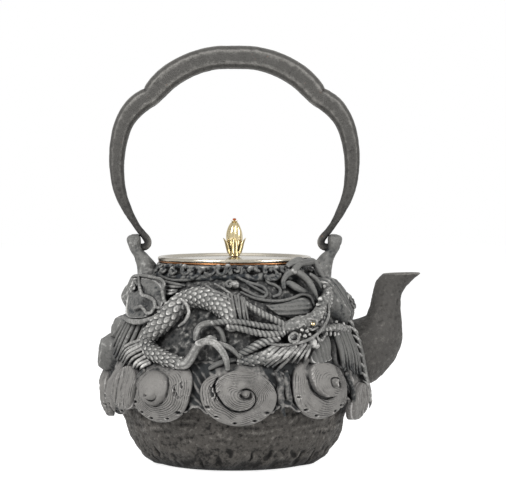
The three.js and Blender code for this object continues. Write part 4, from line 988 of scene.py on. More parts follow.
def rim_pits(across, up, wide, tall, seed):
    """Pits with raised edges along a disc's lower rim."""
    random = np.random.default_rng(seed)
    height = 0.0
    for k in range(RIM_PITS):
        b = -2.85 + 0.56 * k + random.uniform(-0.14, 0.14)
        x, z = across - wide * 0.9 * math.cos(b), up - tall * 0.89 * math.sin(b)
        size = random.uniform(0.7, 1.25)
        dent = (x / (1.5 * size)) ** 2 + (z / (0.7 * size)) ** 2
        height = height + 0.7 * np.exp(-dent / 3) - 2.3 * np.exp(-dent)
    return height


def scroll_skin(scroll, rings, cols, seed):
    """A disc whose face steps down where the arm of its spiral passes, finely engraved and pitted."""
    angle, height, wide, tall, whorl, turn, start, arm, rise, cone, kind, runs_out = scroll
    share = np.concatenate([[0.006], np.linspace(0.014, 0.965, rings), DISC_EDGE])[:, None]
    a = ring_angles(cols, 0)[None, :]
    swell = 1 + runs_out[1] * bell(a - runs_out[0], 0.5)
    across = whorl[0] * (1 - share) + wide * swell * share * np.cos(a)
    up = whorl[1] * (1 - share) + tall * swell * share * np.sin(a)
    way = -1 if whorl[0] < 0 else 1
    p = flat(across, up)
    proud = SCROLL_RIM + cone * (1 - share) ** 1.2 * np.ones_like(a)
    if arm:
        proud += spiral_step(share, a, arm, turn, start, rise, 0.5 * (wide + tall))
    proud += whorl_height(kind, across - whorl[0], up - whorl[1])
    if kind == "shell":
        bent = 5.5 * (across - 0.22 * wide * (up / tall) ** 2 * turn) / wide
        winding = 1.1 * bent + 0.5 * noise(p, 9, seed)
        proud += 1.8 - 2.4 * bell(across / wide + 0.1 * turn, 0.6) * (1 - share**4)
        proud += 0.9 * np.abs(np.sin(1.4 * winding)) * np.clip(4 * (1 - share), 0, 1)
        carved = 1.5 * engraving(winding, p, seed)
    else:
        carved = engraving(16 * share - turn * a / TURN + 1.3 * noise(p, 9, seed), p, seed)
        proud += rim_pits(across, up, wide, tall, seed)
    if kind == "tip":
        dome = bullet(across, up, way)
        reach = np.hypot(across - whorl[0], up - whorl[1])
        carved = carved * (1 - 0.85 * np.clip(dome / 2, 0, 1)) + 0.2 * np.cos(3.6 * reach) * bell(reach, 7)
        proud += dome
    proud += carved * np.clip(share * 6, 0, 1)
    if kind in ("tip", "knob"):
        away = ((across + 0.66 * wide * way) / 3.2) ** 2 + ((up - 0.2 * tall) / 5.6) ** 2
        patches = soft_step(2.2 * noise(p * [1.5, 1, 1], 1.7, seed + 2) + 0.5)
        proud += np.exp(-(away**2)) * (0.4 - 1.3 * patches)
    lumps = 1.8 if kind == "plain" else 0.5
    proud += lumps * noise(p, 6, seed + 3) + 0.22 * noise(p, 2.4, seed + 4)
    rim = np.clip((1 - share) / 0.1, 0, 1)
    proud = proud * (0.12 + 0.88 * np.sqrt(1 - (1 - rim) ** 2))
    proud = np.concatenate([proud, np.full((2, cols), -DISC_DEPTH)])
    across = np.concatenate([across, across[-1:], across[:1]])
    up = np.concatenate([up, up[-1:], up[:1]])
    r = wave_radius(height + up) + proud - SCROLL_SINK
    return skin(around(r, math.radians(angle) + across / wave_radius(height), height + up))


def spiral_step(share, a, arm, turn, start, rise, broad):
    """Height inside the arm of a spiral, with a dark crease along its outer side."""
    last = len(arm) - 1
    arm_line = catmull([(k, s) for k, s in enumerate(arm)], np.linspace(0, 1, 200))
    first = (turn * (a / QUARTER - start)) % 4
    height = np.zeros(np.broadcast_shapes(share.shape, a.shape))
    for lap in range(0, last + 4, 4):
        t = first + lap
        at = np.interp(t, arm_line[:, 0], arm_line[:, 1]) + 0.2 * np.maximum(0, t - last)
        size = rise * soft_step(t / 0.9) * soft_step((last + 0.1 - t) / 1.0)
        size = size * (INNER_LAP + (1 - INNER_LAP) * soft_step((t - 2.2) / 2.4))
        gap = (share - at) * broad
        inside = 0.5 - 0.5 * np.tanh((gap - 0.1) / 0.25)
        height += size * inside * (1.15 - 0.5 * np.exp(np.minimum(gap, 0) / 2.6))
        height -= size * (0.6 * bell(gap - 0.65, 0.45) - 0.12 * bell(gap + 0.7, 0.6))
        height -= 0.35 * size * np.exp(-np.clip(gap, 0, None) / 2.2) * (gap > 0)
    return height


def bullet(across, up, way):
    """A blunt upright dome, with a crease on the side away from the disc's end."""
    x, z = across - 2.8 * way, up - 3.2
    reach = np.hypot(x / 9.4, z / 9.4)
    gap = 9.8 * (reach - 1)
    steep = 0.55 - 0.45 * (way * x - 0.5 * z) / np.maximum(np.hypot(x, z), 1)
    return 5.4 * np.clip(1 - reach**1.7, 0, 1) ** 0.75 - 1.2 * steep * bell(gap - 0.5, 0.6)


def scrolls():
    def shaded_turned_edge(points):
        """The turned-down edge of each disc is darkened as painted shade, which also takes away its painted
        highlight.
        """
        proud = np.hypot(points[:, 0], points[:, 1]) - wave_radius(points[:, 2])
        return -0.4 * soft_step((-0.5 - proud) / 0.8)

    for i, scroll in enumerate(SCROLLS):
        rings, cols = (150, 300) if i < FRONT_SCROLLS else (90, 180)
        shapes = [scroll_skin(scroll, rings, cols, 10 * i + 5)]
        if scroll is SCROLLS[-1]:
            shapes.append(scroll_skin(SMALL_SHELL, rings, cols, 3))
        name = f"wave_scroll_{i + 1:02d}"
        looks = {"grain": (0.1, 1.3), "height": shaded_turned_edge, "rounds": 7}
        piece(name + "_disc", shapes, WAVE_IRON, "relief_iron", stands_for=name, **looks)


# Folds of water beside the scrolls, as strands wrapped round the wall by angle
FOLDS = [
    [(-43, 55, 4.4, 1.2), (-46, 51, 5.8, 1.7), (-48.6, 45, 6.8, 1.6), (-49, 38.4, 7, 0.9)],
    [
        (20, 56, 1.4, 1.4), (21.4, 50, 3.4, 2.2), (20.4, 44, 5.4, 2.3), (21.4, 37.4, 7.2, 1.4),
        (22.4, 34, 7.8, 0.6),
    ],
    [(24.6, 55, 1.4, 1.4), (23.8, 48, 4.4, 2.2), (24.8, 42, 5.6, 1.8), (25.4, 37.6, 6.6, 0.8)],
    [(58.4, 52, 6, 1.1), (60.6, 45, 8.4, 1.4), (62, 38, 9.4, 1.2)],
    [(88, 42, 8, 1.2), (90, 34, 9, 1.4), (90, 28, 9, 0.9)],
    [(122, 56, 4, 1.2), (121, 46, 7, 1.6), (120, 36, 9, 1.0)],
    [(158, 57, 3, 1.2), (159, 48, 5.4, 1.7), (160, 38, 8, 1.0)],
    [(197, 57, 3, 1.2), (196, 48, 5.4, 1.7), (195, 38, 8, 1.0)],
    [(231.6, 56, 4, 1.2), (231, 46, 7, 1.6), (230, 37, 9, 1.0)],
    [(258, 54, 4, 1.2), (258, 44, 8, 1.6), (258, 34, 9, 1.0)],
]


def wave_folds():
    folds = strands(FOLDS, wrapped=True, sides=26, step=0.5, relief=knobbly(0.3, 3.2))

    # Painted shade: the folds stand in the shaded gaps between the scrolls and are made darker all over.
    def shaded_like_gaps(points):
        return np.full(len(points), -0.3)

    parts = [skin(fold) for fold in folds]
    piece("wave_folds", parts, WAVE_IRON, "relief_iron", grain=(0.3, 1.8), height=shaded_like_gaps, rounds=12)


# Dragon and clouds on the front: strands as [x, height, height over the wall, radius], rims of plates
# as [x, height], and the lines between which hair and water run as [x, height, height over the wall]

ARCH = [
    (-31, 90.2, 2, 4.6), (-24.8, 93.4, 2.4, 5.2), (-18, 94.8, 2.8, 5.5), (-11, 93.2, 3, 5.5),
    (-5, 89, 3, 5.1), (-2, 84, 2.2, 4.5), (-1, 80.6, 1.2, 3.8),
]
FORELEG = [
    (-24, 92.6, -4, 3.6), (-27.4, 92, 1.6, 5.0), (-30.6, 89.4, 3.4, 5.6), (-35, 84.6, 4.2, 5.4),
    (-41.8, 78, 4.6, 4.8), (-46, 72.4, 4.4, 4.1), (-45.2, 67.2, 4.2, 3.9), (-38.8, 63.4, 4, 3.8),
    (-32, 61.2, 4, 3.4), (-27.6, 60.2, 3.6, 3.0),
]
CUFF = [
    (-34, 91.8, 4.6, 0.5), (-31.9, 93.6, 5.6, 0.8), (-28.6, 94.4, 6.4, 0.9), (-25, 91.6, 6.8, 0.9),
    (-23.8, 87.2, 6.6, 0.9), (-26, 82.6, 6, 0.8), (-29, 80, 5, 0.6),
]
WRIST = [
    (-29, 59.8, 3.8, 3.0), (-25.4, 60.2, 4.6, 2.8), (-22.2, 64, 5, 2.5), (-19.4, 69, 5.4, 2.3),
    (-17, 71.2, 5.8, 2.0),
]
TALONS = [
    [
        (-18.4, 71, 6, 2.0), (-14, 72.6, 6.8, 1.95), (-10.2, 71.8, 7.2, 1.9), (-6.6, 68.4, 7.4, 1.8),
        (-4, 63.6, 6.4, 1.65), (-3, 58.2, 5, 1.3),
    ],
    [(-11, 71.4, 5, 1.5), (-6, 70.6, 4.8, 1.5), (-1.4, 68.6, 4.4, 1.4), (3.2, 64, 3.4, 0.9)],
    [
        (-19.8, 73.4, 4.2, 1.5), (-19.4, 77, 4.8, 1.7), (-17.4, 80.2, 5, 1.7), (-13.6, 81.8, 4.8, 1.6),
        (-9.2, 81.9, 4.2, 1.5),
    ],
    [(-9.6, 81, 3.6, 1.4), (-6.4, 77.2, 3.6, 1.3), (-5, 72.4, 3, 1.2)],
    [(-12.3, 58, 2.8, 1.1), (-8.3, 60.2, 3, 1.5), (-3.1, 61.9, 2.4, 1.5), (1, 62.4, 1.6, 1.0)],
    [(-14.8, 73.6, 7, 0.9), (-12.4, 74.7, 7.4, 1.1), (-9.4, 73.8, 7.2, 0.8)],
]
UPPER_HORN = [
    (1.6, 95, 4, 1.4), (4.4, 93.2, 4.4, 1.5), (9.4, 90.1, 4.4, 1.55), (14.6, 87, 4.6, 1.65),
    (20.4, 84, 4.8, 1.75), (27.6, 80, 4.8, 1.8),
]
LOWER_HORN = [
    (-11, 82, 5.8, 1.3), (-6, 82.8, 5.6, 1.5), (0.7, 82.6, 5.2, 1.6), (7.3, 81.8, 4.8, 1.6),
    (13.9, 80.4, 4.6, 1.65), (20.5, 79.4, 4.4, 1.7), (28, 77.6, 4.4, 1.9),
]
THIRD_HORN = [
    (-2.6, 80.2, 5.4, 1.4), (3.5, 79.2, 5.4, 1.55), (10.1, 77.4, 5.2, 1.65), (17.6, 76, 5, 1.7),
    (26, 76, 4.6, 1.8),
]
NECK = [(3.8, 65.4, 2, 1.8), (9.1, 68.2, 2.8, 2.1), (14.3, 71, 3.2, 2.4), (22.6, 73.4, 3, 2.6)]
CHEST = [(4, 61.4, 0.2, 3.0), (11, 62.4, 0.8, 3.8), (18, 64, 0.8, 4.4), (25, 65, 0.6, 3.8)]
MANE_ROOTS = [(-5, 97, 6), (1, 96.4, 6), (5.4, 95, 5)]
MANE_TIPS = [(-0.6, 82, 6), (3, 83.4, 5.6), (8, 83, 5)]
RIBBONS = [
    (
        "cloud_ribbon_01",
        [
            (-42.7, 106.6, 1.2, 0.8), (-38.5, 104.3, 1.2, 0.9), (-33.3, 103.1, 1.2, 0.9),
            (-26.7, 103.3, 1.2, 0.9), (-20.1, 104.2, 1.2, 0.9), (-14.4, 105.2, 1.2, 0.9),
            (-8.8, 106.3, 1.2, 0.9), (-1.2, 106.1, 1.1, 0.8),
        ],
    ),
    (
        "cloud_ribbon_02",
        [
            (-1, 107, 1.1, 0.8), (3.5, 104.4, 1.1, 0.9), (9.1, 102.1, 1.1, 0.95), (12.9, 101.1, 1.1, 0.95),
            (16.2, 99.6, 1.1, 0.95), (17.8, 97, 1.1, 0.95), (16.2, 94.9, 1.1, 0.95), (12.4, 95.5, 1.1, 0.9),
            (7.3, 98, 1.1, 0.9), (3.5, 99.9, 0.9, 0.7),
        ],
    ),
    (
        "cloud_ribbon_03",
        [
            (10.8, 105.5, 0.9, 0.7), (13.9, 106.4, 1.1, 0.9), (16.7, 105.4, 1.1, 0.9),
            (18.6, 102.4, 1.1, 0.9), (21.9, 101, 1.1, 0.9), (24.7, 98.9, 1.1, 0.9), (24.6, 96.3, 1.1, 0.9),
            (21.4, 95, 1, 0.8),
        ],
    ),
]
MORE_RIBBONS = [
    [(-14.4, 106, 1, 0.6), (-10.7, 107.2, 1, 0.7), (-5, 107.2, 1, 0.7), (-1, 107, 1, 0.7)],
    [(7, 102.2, 1, 0.6), (12, 99.4, 1, 0.8), (16.4, 97, 1, 0.8)],
    [
        (4, 97.4, 0.9, 0.7), (10.1, 94.8, 1.2, 0.8), (17.6, 93.1, 1.4, 0.9), (25.2, 92.7, 1.6, 0.9),
        (31.8, 94, 1.8, 0.9), (37.4, 95.7, 1.8, 0.9), (41.7, 93.9, 1.8, 0.9), (43.6, 89.7, 1.6, 0.7),
    ],
    [(-14.4, 101, 5.6, 0.7), (-10.7, 99.2, 6.8, 0.8), (-5.9, 97.2, 7, 0.8), (-1.6, 94.6, 6, 0.8)],
    [(-10, 102, 4.4, 0.6), (-5, 99.6, 5.8, 0.8), (0, 96.2, 5.4, 0.7)],
]
UPPER_CLAW = [
    [
        (27, 99.6, 2, 1.07), (26.8, 103.2, 2.8, 1.31), (29.4, 106.6, 3.6, 1.64), (33, 107.6, 4.4, 1.8),
        (36.6, 106, 5, 1.89), (40, 103, 5.2, 1.89), (43, 98.6, 5, 1.64), (45.4, 92.6, 3.6, 0.74),
    ],
    [
        (27.4, 101.6, 2, 0.98), (30, 101.6, 2.6, 1.64), (33.6, 99.4, 3, 1.97), (37, 97.8, 2.8, 1.48),
        (39.4, 97.2, 2.6, 0.74),
    ],
    [
        (32.4, 107.8, 5, 1.8), (35.6, 110.4, 6, 2.13), (39.4, 111.2, 6.6, 1.97), (43.6, 110.2, 7, 1.89),
        (47, 107, 6.4, 1.72), (49.2, 102.6, 5.2, 1.39), (50, 98.2, 4, 0.74),
    ],
    [(41.8, 105.8, 5.4, 1.23), (45, 103.2, 5.6, 1.31), (47.4, 99, 4.6, 0.66)],
    [(29.6, 110.2, 4.6, 1.48), (32.4, 112.6, 5.4, 1.89), (35.6, 113.6, 6, 1.97), (38.6, 111.8, 6.4, 1.48)],
]
SHIELD = [
    (-58, 100.6), (-55.4, 104.4), (-49, 105), (-41.6, 103.8), (-37.2, 100), (-36.4, 93.4), (-38.6, 87.6),
    (-45, 83.6), (-52.6, 81.6), (-59, 82), (-60, 92),
]
# Hollows and lumps of the shield, as [x, height, half width, half height, lift]
SHIELD_HOLLOWS = [
    (-54, 99.5, 2.2, 2.6, -2.6), (-47, 90.6, 3.2, 2.4, -1.8), (-50, 101, 3, 1.8, 1.4),
    (-44, 98.6, 2.6, 3, 1.2), (-55, 86, 3, 2, -1.2),
]
SQUIGGLES = [
    [
        (-52.3, 103.9, 7.2, 0.8), (-51, 98.9, 8, 1.0), (-49.4, 95.8, 8, 1.0), (-45.7, 94.8, 8, 1.0),
        (-42.9, 92.9, 7.8, 1.0), (-42.3, 90, 7.8, 1.0), (-44.1, 87, 8, 1.0), (-46.6, 86.4, 8, 1.0),
        (-48.4, 88.2, 8, 1.0), (-50.1, 89.5, 8, 0.95), (-53.9, 87.9, 7.6, 0.9),
    ],
    [
        (-43.2, 104.4, 6.6, 0.8), (-39.6, 103.8, 6.4, 0.9), (-37.6, 101.6, 6.2, 0.9),
        (-38.5, 98.3, 6.4, 0.95), (-37.6, 94, 6.2, 0.95), (-36.5, 91, 6, 0.95), (-38, 89.2, 6.4, 0.95),
        (-40.7, 89.4, 7.2, 0.9), (-42.3, 90.2, 7.6, 0.8),
    ],
    [
        (-58.6, 99.4, 6.4, 0.8), (-56.4, 103.2, 7, 1.0), (-51.4, 104.8, 6.8, 1.0), (-46, 104.8, 6.8, 0.95),
        (-42.6, 104.4, 6.6, 0.8),
    ],
]
SHIELD_LIP = [
    (-60.4, 82.6, 6.8, 1.1), (-56, 81.2, 7.6, 1.4), (-51.6, 81.2, 7.6, 1.5), (-46.6, 82.4, 7.4, 1.4),
    (-41.6, 84.8, 7, 1.2), (-36.8, 88.2, 6.2, 0.9),
]
CLOUD_LEAF = [
    (17, 90.6), (22, 91.2), (27, 92), (33, 93.6), (38, 94), (42, 91.4), (43.4, 87.6), (39, 84.6),
    (32, 83.4), (25, 84.8), (19.6, 88),
]
SIDE_PLATE = [
    (50, 101.6), (58, 104), (68, 104.4), (78, 100), (86, 90), (87, 80), (80, 74.6), (71, 75.6), (64, 81),
    (58, 87), (55.6, 95),
]
FLOWER_ANGLE = 76
FLOWER_HEIGHT = 90.4
BORDER_CURLS = 15
LEAVES = [
    (
        "side_leaf_01",
        [(-64, 84), (-61, 79.6), (-66, 73), (-74, 67.4), (-84, 66), (-88, 71), (-83, 78), (-74, 83.4)], 5,
    ),
    (
        "side_leaf_02",
        [(-80, 74), (-73, 68), (-74, 61), (-79, 53), (-86, 47), (-94, 49), (-94, 60), (-88, 70)], 9.6,
    ),
]
CURL_RADIUS = 0.85
WATER_SHEET = [
    (44.6, 74), (50.5, 74.4), (51, 66), (50, 60), (45, 58.6), (41, 57.8), (38, 58.4), (36.4, 60.6),
    (37.6, 64), (40.8, 68),
]
WATER_BEHIND = [(53.4, 75), (60, 75.6), (70, 74), (74, 62), (73, 51), (63, 53), (54, 56)]
SHOULDER_FIN = [(-68, 103), (-64, 96), (-68, 88), (-76, 84.6), (-84, 87), (-84, 96), (-77, 103)]


def relief_piece(name, shapes, stands_for=None, grain=(0.14, 1.3), rounds=8, tone=0.0):
    """A piece of the relief, darker near the wall as painted shade and lighter where it stands proud as
    painted highlight.
    """
    # Painted shade close to the wall, turning to painted highlight where the piece stands 6 mm proud; tone
    # shifts the whole piece.
    def painted_depth_shade(points):
        proud = np.hypot(points[:, 0], points[:, 1]) - wall_radius(points[:, 2])
        return tone + 0.36 * np.clip(proud / 6, 0, 1) - 0.26

    parts = [shape if isinstance(shape, tuple) else skin(shape) for shape in shapes]
    looks = {"grain": grain, "height": painted_depth_shade, "rounds": rounds}
    piece(name, parts, RELIEF_IRON, "relief_iron", stands_for=stands_for, **looks)


def dragon_body():
    arch = tube(ARCH, sides=84, step=0.28, relief=scales(2.7, 11, 1.05))
    relief_piece("arch", [arch], "dragon_arch", (0.08, 1))
    leg = [tube(FORELEG, sides=84, step=0.26, relief=scales(3.1, 9, 1.3)), tube(CUFF, sides=18, step=0.3)]
    relief_piece("foreleg", leg, "dragon_foreleg", (0.08, 1))
    wrist = tube(WRIST, sides=28, step=0.4, relief=flutes(5, 0.2))
    claw = [wrist, *strands(TALONS, sides=22, step=0.4, relief=flutes(3, 0.16))]
    relief_piece("claw", claw, "dragon_claw", (0.06, 1.2))
    hair = fan(MANE_ROOTS, MANE_TIPS, 7, 0.85)
    relief_piece("mane", hair, "dragon_mane", tone=-0.14)
    rope = {"sides": 32, "step": 0.3, "relief": twist(2, 2.4, 0.3)}
    relief_piece("horn_upper", strands([UPPER_HORN], **rope), "dragon_horn_upper", (0.05, 1))
    relief_piece("horn_lower", strands([LOWER_HORN, THIRD_HORN], **rope), "dragon_horn_lower", (0.05, 1))
    neck = tube(NECK, sides=32, step=0.3, relief=twist(3, 2.6, 0.24))
    relief_piece("neck", [neck], "dragon_neck", (0.06, 1))
    chest = tube(CHEST, sides=48, step=0.35, relief=scales(2.6, 8, 0.8))
    relief_piece("chest_scales", [chest], None, (0.08, 1))


SKULL = [
    (26, 77.8, 3, 2.9), (30, 79.4, 4.6, 3.6), (34, 80.6, 5.6, 4.2), (38.6, 81.4, 6, 4.0),
    (42, 81.6, 5.4, 3.0),
]
SNOUT = [
    (40, 81.4, 5, 3.6), (44.6, 84.4, 5, 3.6), (47.4, 88.6, 4.6, 3.2), (50, 92.6, 4.4, 3.4),
    (51.4, 96, 4.2, 3.4), (51.6, 99.4, 3.6, 2.6),
]
LOWER_JAW = [
    (45, 76.6, 4, 2.2), (50.6, 77.4, 5, 1.9), (55.4, 77.4, 5, 2.1), (60.1, 76.2, 4.6, 2.2),
    (64.8, 73.2, 3.6, 1.2),
]
EYE_RING = (32.3, 74.1)
TOOTH = [
    (44.7, 76.2, 7.4, 0.6), (44.9, 73.2, 7.8, 0.8), (46.6, 71.9, 7.8, 0.8), (48.6, 73.4, 7.4, 0.7),
    (49.6, 75.4, 6.8, 0.6),
]
BEAD_LINE = [(47.6, 81.4), (50.2, 86.6), (52.6, 91), (53.4, 95.6), (52.8, 100)]
BEADS = 11
JAW_TEETH = 7
# Warts on the head, as [x, height, height over the wall, size]
WARTS = [
    (39.6, 84.2, 8.8, 1.0), (42.2, 83.6, 9.2, 1.1), (37.2, 81.2, 9.6, 0.9), (36.4, 78.2, 9.6, 1.1),
    (39.2, 77.6, 9.8, 1.1), (35.2, 75.6, 8.6, 1.0), (37.8, 74.8, 9.0, 1.1), (40.6, 75.6, 9.6, 0.9),
    (46.6, 93.6, 7.2, 1.3), (51, 96.4, 6.8, 1.1), (49.2, 99.4, 5.2, 1.2), (45.2, 90.6, 7.0, 1.0),
    (59.6, 79, 6, 1.1), (63.2, 76.4, 5, 1.0), (55.6, 80.4, 5.4, 0.9),
]
BROW = [(38.2, 82.8, 9.8, 0.6), (40.6, 84.0, 10.4, 0.8), (43.6, 83.4, 10.4, 0.7)]
EYELID = [(39.6, 79.2, 10.2, 0.5), (42, 78.2, 10.6, 0.65), (44.8, 79.2, 10.2, 0.5)]
WHISKER = [
    (51.4, 90.6, 8, 0.58), (51.2, 85, 9, 0.72), (48.3, 79.3, 9.8, 0.83), (44, 75.3, 10, 0.86),
    (38.4, 72.3, 9, 0.86), (30.8, 70.6, 6.8, 0.83), (23.3, 70.2, 5.2, 0.79), (14.3, 72.2, 3.4, 0.58),
]


def dragon_head():
    parts = [tube(SKULL, sides=48, step=0.4, relief=knobbly(0.4, 2.4))]
    parts.append(tube(SNOUT, sides=44, step=0.4, relief=knobbly(0.55, 2.2)))
    parts.append(tube(LOWER_JAW, sides=32, step=0.4, relief=knobbly(0.45, 1.8)))
    x, z = EYE_RING
    ring = [(x + 2.5 * math.cos(t), z + 2.3 * math.sin(t), 8.4, 0.85) for t in np.linspace(0, TURN, 13)]
    parts += [tube(ring, sides=16, step=0.3), blob(x, z, 3.6, 3, 2.8, 3)]
    parts.append(tube(TOOTH, sides=14, step=0.3))
    parts += [blob(42.4, 70.6, 5.6, 2.0, 3.2, 2.4), blob(44.2, 68.8, 5.8, 1.7, 1.7, 1.9)]
    for k in range(BEADS):
        t = k / (BEADS - 1)
        x, z = catmull(BEAD_LINE, [t])[0]
        parts.append(blob(x, z, 7.2 - 1.6 * t, 0.85, 0.95, 0.95, sides=12))
    for k in range(JAW_TEETH):
        drop = 0.35 * k + (0.9 if k > 4 else 0)
        parts.append(blob(50 + 2.2 * k, 74.9 - drop, 6.6 - 0.35 * k, 0.7, 1.2, 0.8, sides=12))
    parts += [blob(x, z, proud, size, size, size * 0.9, sides=14) for x, z, proud, size in WARTS]
    relief_piece("head", parts, "dragon_head", (0.3, 1.1), rounds=6, tone=0.02)
    relief_piece("brow", strands([BROW, EYELID], sides=14, step=0.3), None, (0.08, 1))
    piece("eye", [blob(42.3, 81.0, 9.7, 1.5, 1.2, 1.3, sides=28)], GOLD, "gilt", stands_for="dragon_eye")
    relief_piece("whisker", [tube(WHISKER, sides=24, step=0.4)], "dragon_whisker", (0.08, 1.2))
    beard = fan(
        [(22, 70, 3.6), (29, 69.4, 4.6), (35, 69.4, 4.8)], [(12, 62.6, 3), (17, 59.6, 3.4), (23, 56.8, 3)],
        6, 1.25, lift=0.8, seed=4,
    )
    beard += fan(
        [(30, 69, 5.4), (37, 69.8, 6), (41, 69, 5)], [(21.4, 62.6, 5), (29, 60.4, 4.6), (38, 60, 3.4)],
        6, 1.15, lift=0.9, seed=5,
    )
    relief_piece("beard", beard, "dragon_beard", (0.16, 1.3), tone=-0.04)


def curl_line(middle, across, up, proud, climb, shrink, turns):
    """A strand that winds in round its middle. For each radian of its turns it climbs from the wall and
    loses a share of its reach."""
    line = []
    for t in turns:
        x = middle[0] + across * (1 - shrink * t) * math.cos(t)
        z = middle[1] + up * (1 - shrink * t) * math.sin(t)
        line.append((x, z, proud + climb * t, CURL_RADIUS))
    return line


def clouds():
    for name, path in RIBBONS:
        relief_piece(name + "_line", [tube(path, sides=18, step=0.4, squeeze=0.9)], name, (0.08, 1.4))
    relief_piece("cloud_lines", strands(MORE_RIBBONS, sides=16, step=0.4, squeeze=0.9), None, (0.08, 1.4))
    curl = curl_line((-2.2, 101.6), 2.3, 2.1, 2.4, 0.15, 1 / 9, np.linspace(0.6, 7, 18))
    lumps = [blob(0.4, 101.4, 1.6, 2.6, 2.4, 2.2), blob(1.8, 100.8, 3.0, 1.2, 1.2, 1.4)]
    relief_piece("cloud_knob", [*lumps, tube(curl, sides=14, step=0.3)], None, (0.12, 1.2))
    upper_claw = strands(UPPER_CLAW, sides=26, step=0.4, relief=flutes(3, 0.2))
    relief_piece("upper_claw", upper_claw, "dragon_upper_claw", (0.1, 1.3), tone=-0.12)

    def grooves(x, z):
        return 0.22 * np.sin(1.5 * (z - 0.12 * x) * QUARTER + 0.3 * x)

    relief_piece("leaf", [plate(CLOUD_LEAF, 1.8, 1.8, relief=grooves)], "cloud_leaf", (0.14, 1.3))


def shoulder_shield():
    """The pierced plate on the left shoulder, with its winding ribbon and its lip."""
    def dents(x, z):
        d = 1.3 * noise(flat(x, z), 5, 4) - 0.3
        for at_x, at_z, wide, tall, lift in SHIELD_HOLLOWS:
            d = d + lift * bell(x - at_x, wide) * bell(z - at_z, tall)
        return d

    swirl = curl_line((-55.4, 99.4), 2.6, 2.8, 6.6, 0, 0.1, np.linspace(0.4, 7.4, 20))
    shapes = [plate(SHIELD, 6.0, 0.8, relief=dents, samples=160, rings=40), tube(swirl, sides=16, step=0.3)]
    shapes.append(blob(-49, 101.4, 4.8, 2.6, 2.2, 2.2))
    relief_piece("shield", shapes, "shoulder_shield", (0.3, 1.8), tone=-0.2)
    relief_piece("shield_squiggles", strands(SQUIGGLES, sides=16, step=0.4), "shield_ribbon", (0.08, 1.4))
    relief_piece("shield_edge", [tube(SHIELD_LIP, sides=20, step=0.4)], "shield_lip", (0.1, 1.4))
    bars = fan(
        [(-38, 101.6, 1.2), (-37, 98.4, 1.6), (-36.4, 95.6, 2)],
        [(-27, 100.8, 1.2), (-29.6, 99, 1.4), (-31.6, 96.8, 1.6)], 4, 1.0,
    )
    relief_piece("bars", bars)


def flower():
    """Two rings of curved petals on a low boss."""
    petals = []
    for reach, count, proud in ((3.6, 7, 7.6), (1.9, 5, 9)):
        for t in ring_angles(count, 0):
            x, z = reach * math.cos(t), FLOWER_HEIGHT + 1.15 * reach * math.sin(t)
            petal = []
            for u in (-1.6, -0.5, 0.6, 1.7):
                petal.append((x + 1.1 * math.cos(t + u), z + 1.2 * math.sin(t + u), proud + 0.2 * u, 0.75))
            petals.append(tube(petal, FLOWER_ANGLE, sides=14, step=0.3))
    boss = blob(0, FLOWER_HEIGHT, 7, 4, 4.4, 2, face=FLOWER_ANGLE)
    relief_piece("flower", [*petals, boss], "shoulder_flower", (0.2, 1.2), tone=-0.15)


def side_forms():
    """Plates and leaves round the sides, drawn by angle."""
    def streaks(x, z):
        return 0.2 * np.sin(1.1 * (x + 0.5 * z)) + 0.15 * np.sin(2.3 * (x + 0.42 * z))

    def veins(x, z):
        return 0.3 * np.sin(0.9 * x + 0.5 * z) + 0.5 * noise(flat(x, z), 6, 6)

    side_plate = plate(SIDE_PLATE, 7.2, 1.2, wrapped=True, relief=streaks, shoulder=0.42, rings=44)
    relief_piece("side_plate", [side_plate], "shoulder_plate", (0.2, 1.6), rounds=12, tone=-0.16)
    flower()
    fin = plate(SHOULDER_FIN, 6.6, 0.8, wrapped=True, relief=streaks, shoulder=0.5, rings=36)
    relief_piece("shoulder_fin", [fin], None, (0.2, 1.8), rounds=12)
    for name, rim, thick in LEAVES:
        leaf = plate(rim, thick, 1.6, wrapped=True, relief=veins, shoulder=0.45, rings=40, samples=200)
        relief_piece(name + "_leaf", [leaf], name, (0.25, 2), rounds=12, tone=-0.12)
    hair = fan(
        [(-63, 83, 3), (-56, 82, 3.6), (-46, 83, 3)], [(-77, 63, 4.4), (-68, 58.6, 4.4), (-57, 60, 3.6)],
        6, 1.35, bow=-0.1, lift=0.9, seed=7, wrapped=True,
    )
    relief_piece("hair", hair, "dragon_hair", (0.12, 1.5), tone=-0.12)
    fins = fan(
        [(-50, 71, 4.4), (-49.6, 68, 4.8), (-47.6, 63.4, 4.6), (-44.6, 59.6, 4.2)],
        [(-62.6, 61.6, 4.6), (-60.6, 57.6, 4.8), (-56, 55.4, 4.6), (-50.6, 54.6, 4)],
        8, 1.05, bow=0.12, lift=1.2, seed=8,
    )
    relief_piece("fin", fins, "dragon_fin", (0.1, 1.5))


def falling_water():
    """A lined sheet of water in front of coarse strands, between the head and the spout."""
    def lines(x, z):
        across = x - 0.22 * (62 - z)
        height = 0.28 * np.sin(2.6 * across + 1.2 * noise(flat(x, z * 0.3), 5, 3))
        return height + 3.4 * soft_step((63 - z) / 8) - 3.2 * soft_step((58 - z) / 3)

    relief_piece("water_behind", [plate(WATER_BEHIND, 3.6, 1.0, wrapped=True)])
    coarse = fan(
        [(54.4, 74.6, 3.6), (60, 75, 4.4), (68, 74, 4.6)], [(54.6, 55.4, 6.6), (62, 53, 7.4), (73, 50, 7.6)],
        9, 1.25, bow=0.02, lift=0.9, seed=9, wrapped=True,
    )
    relief_piece("coarse_water", coarse, None, (0.12, 1.5), tone=-0.18)
    sheet = plate(WATER_SHEET, 3.4, 1.6, wrapped=True, relief=lines, rings=60, samples=240)
    relief_piece("falling_water", [sheet], "waterfall", (0.08, 1.5), tone=-0.02)


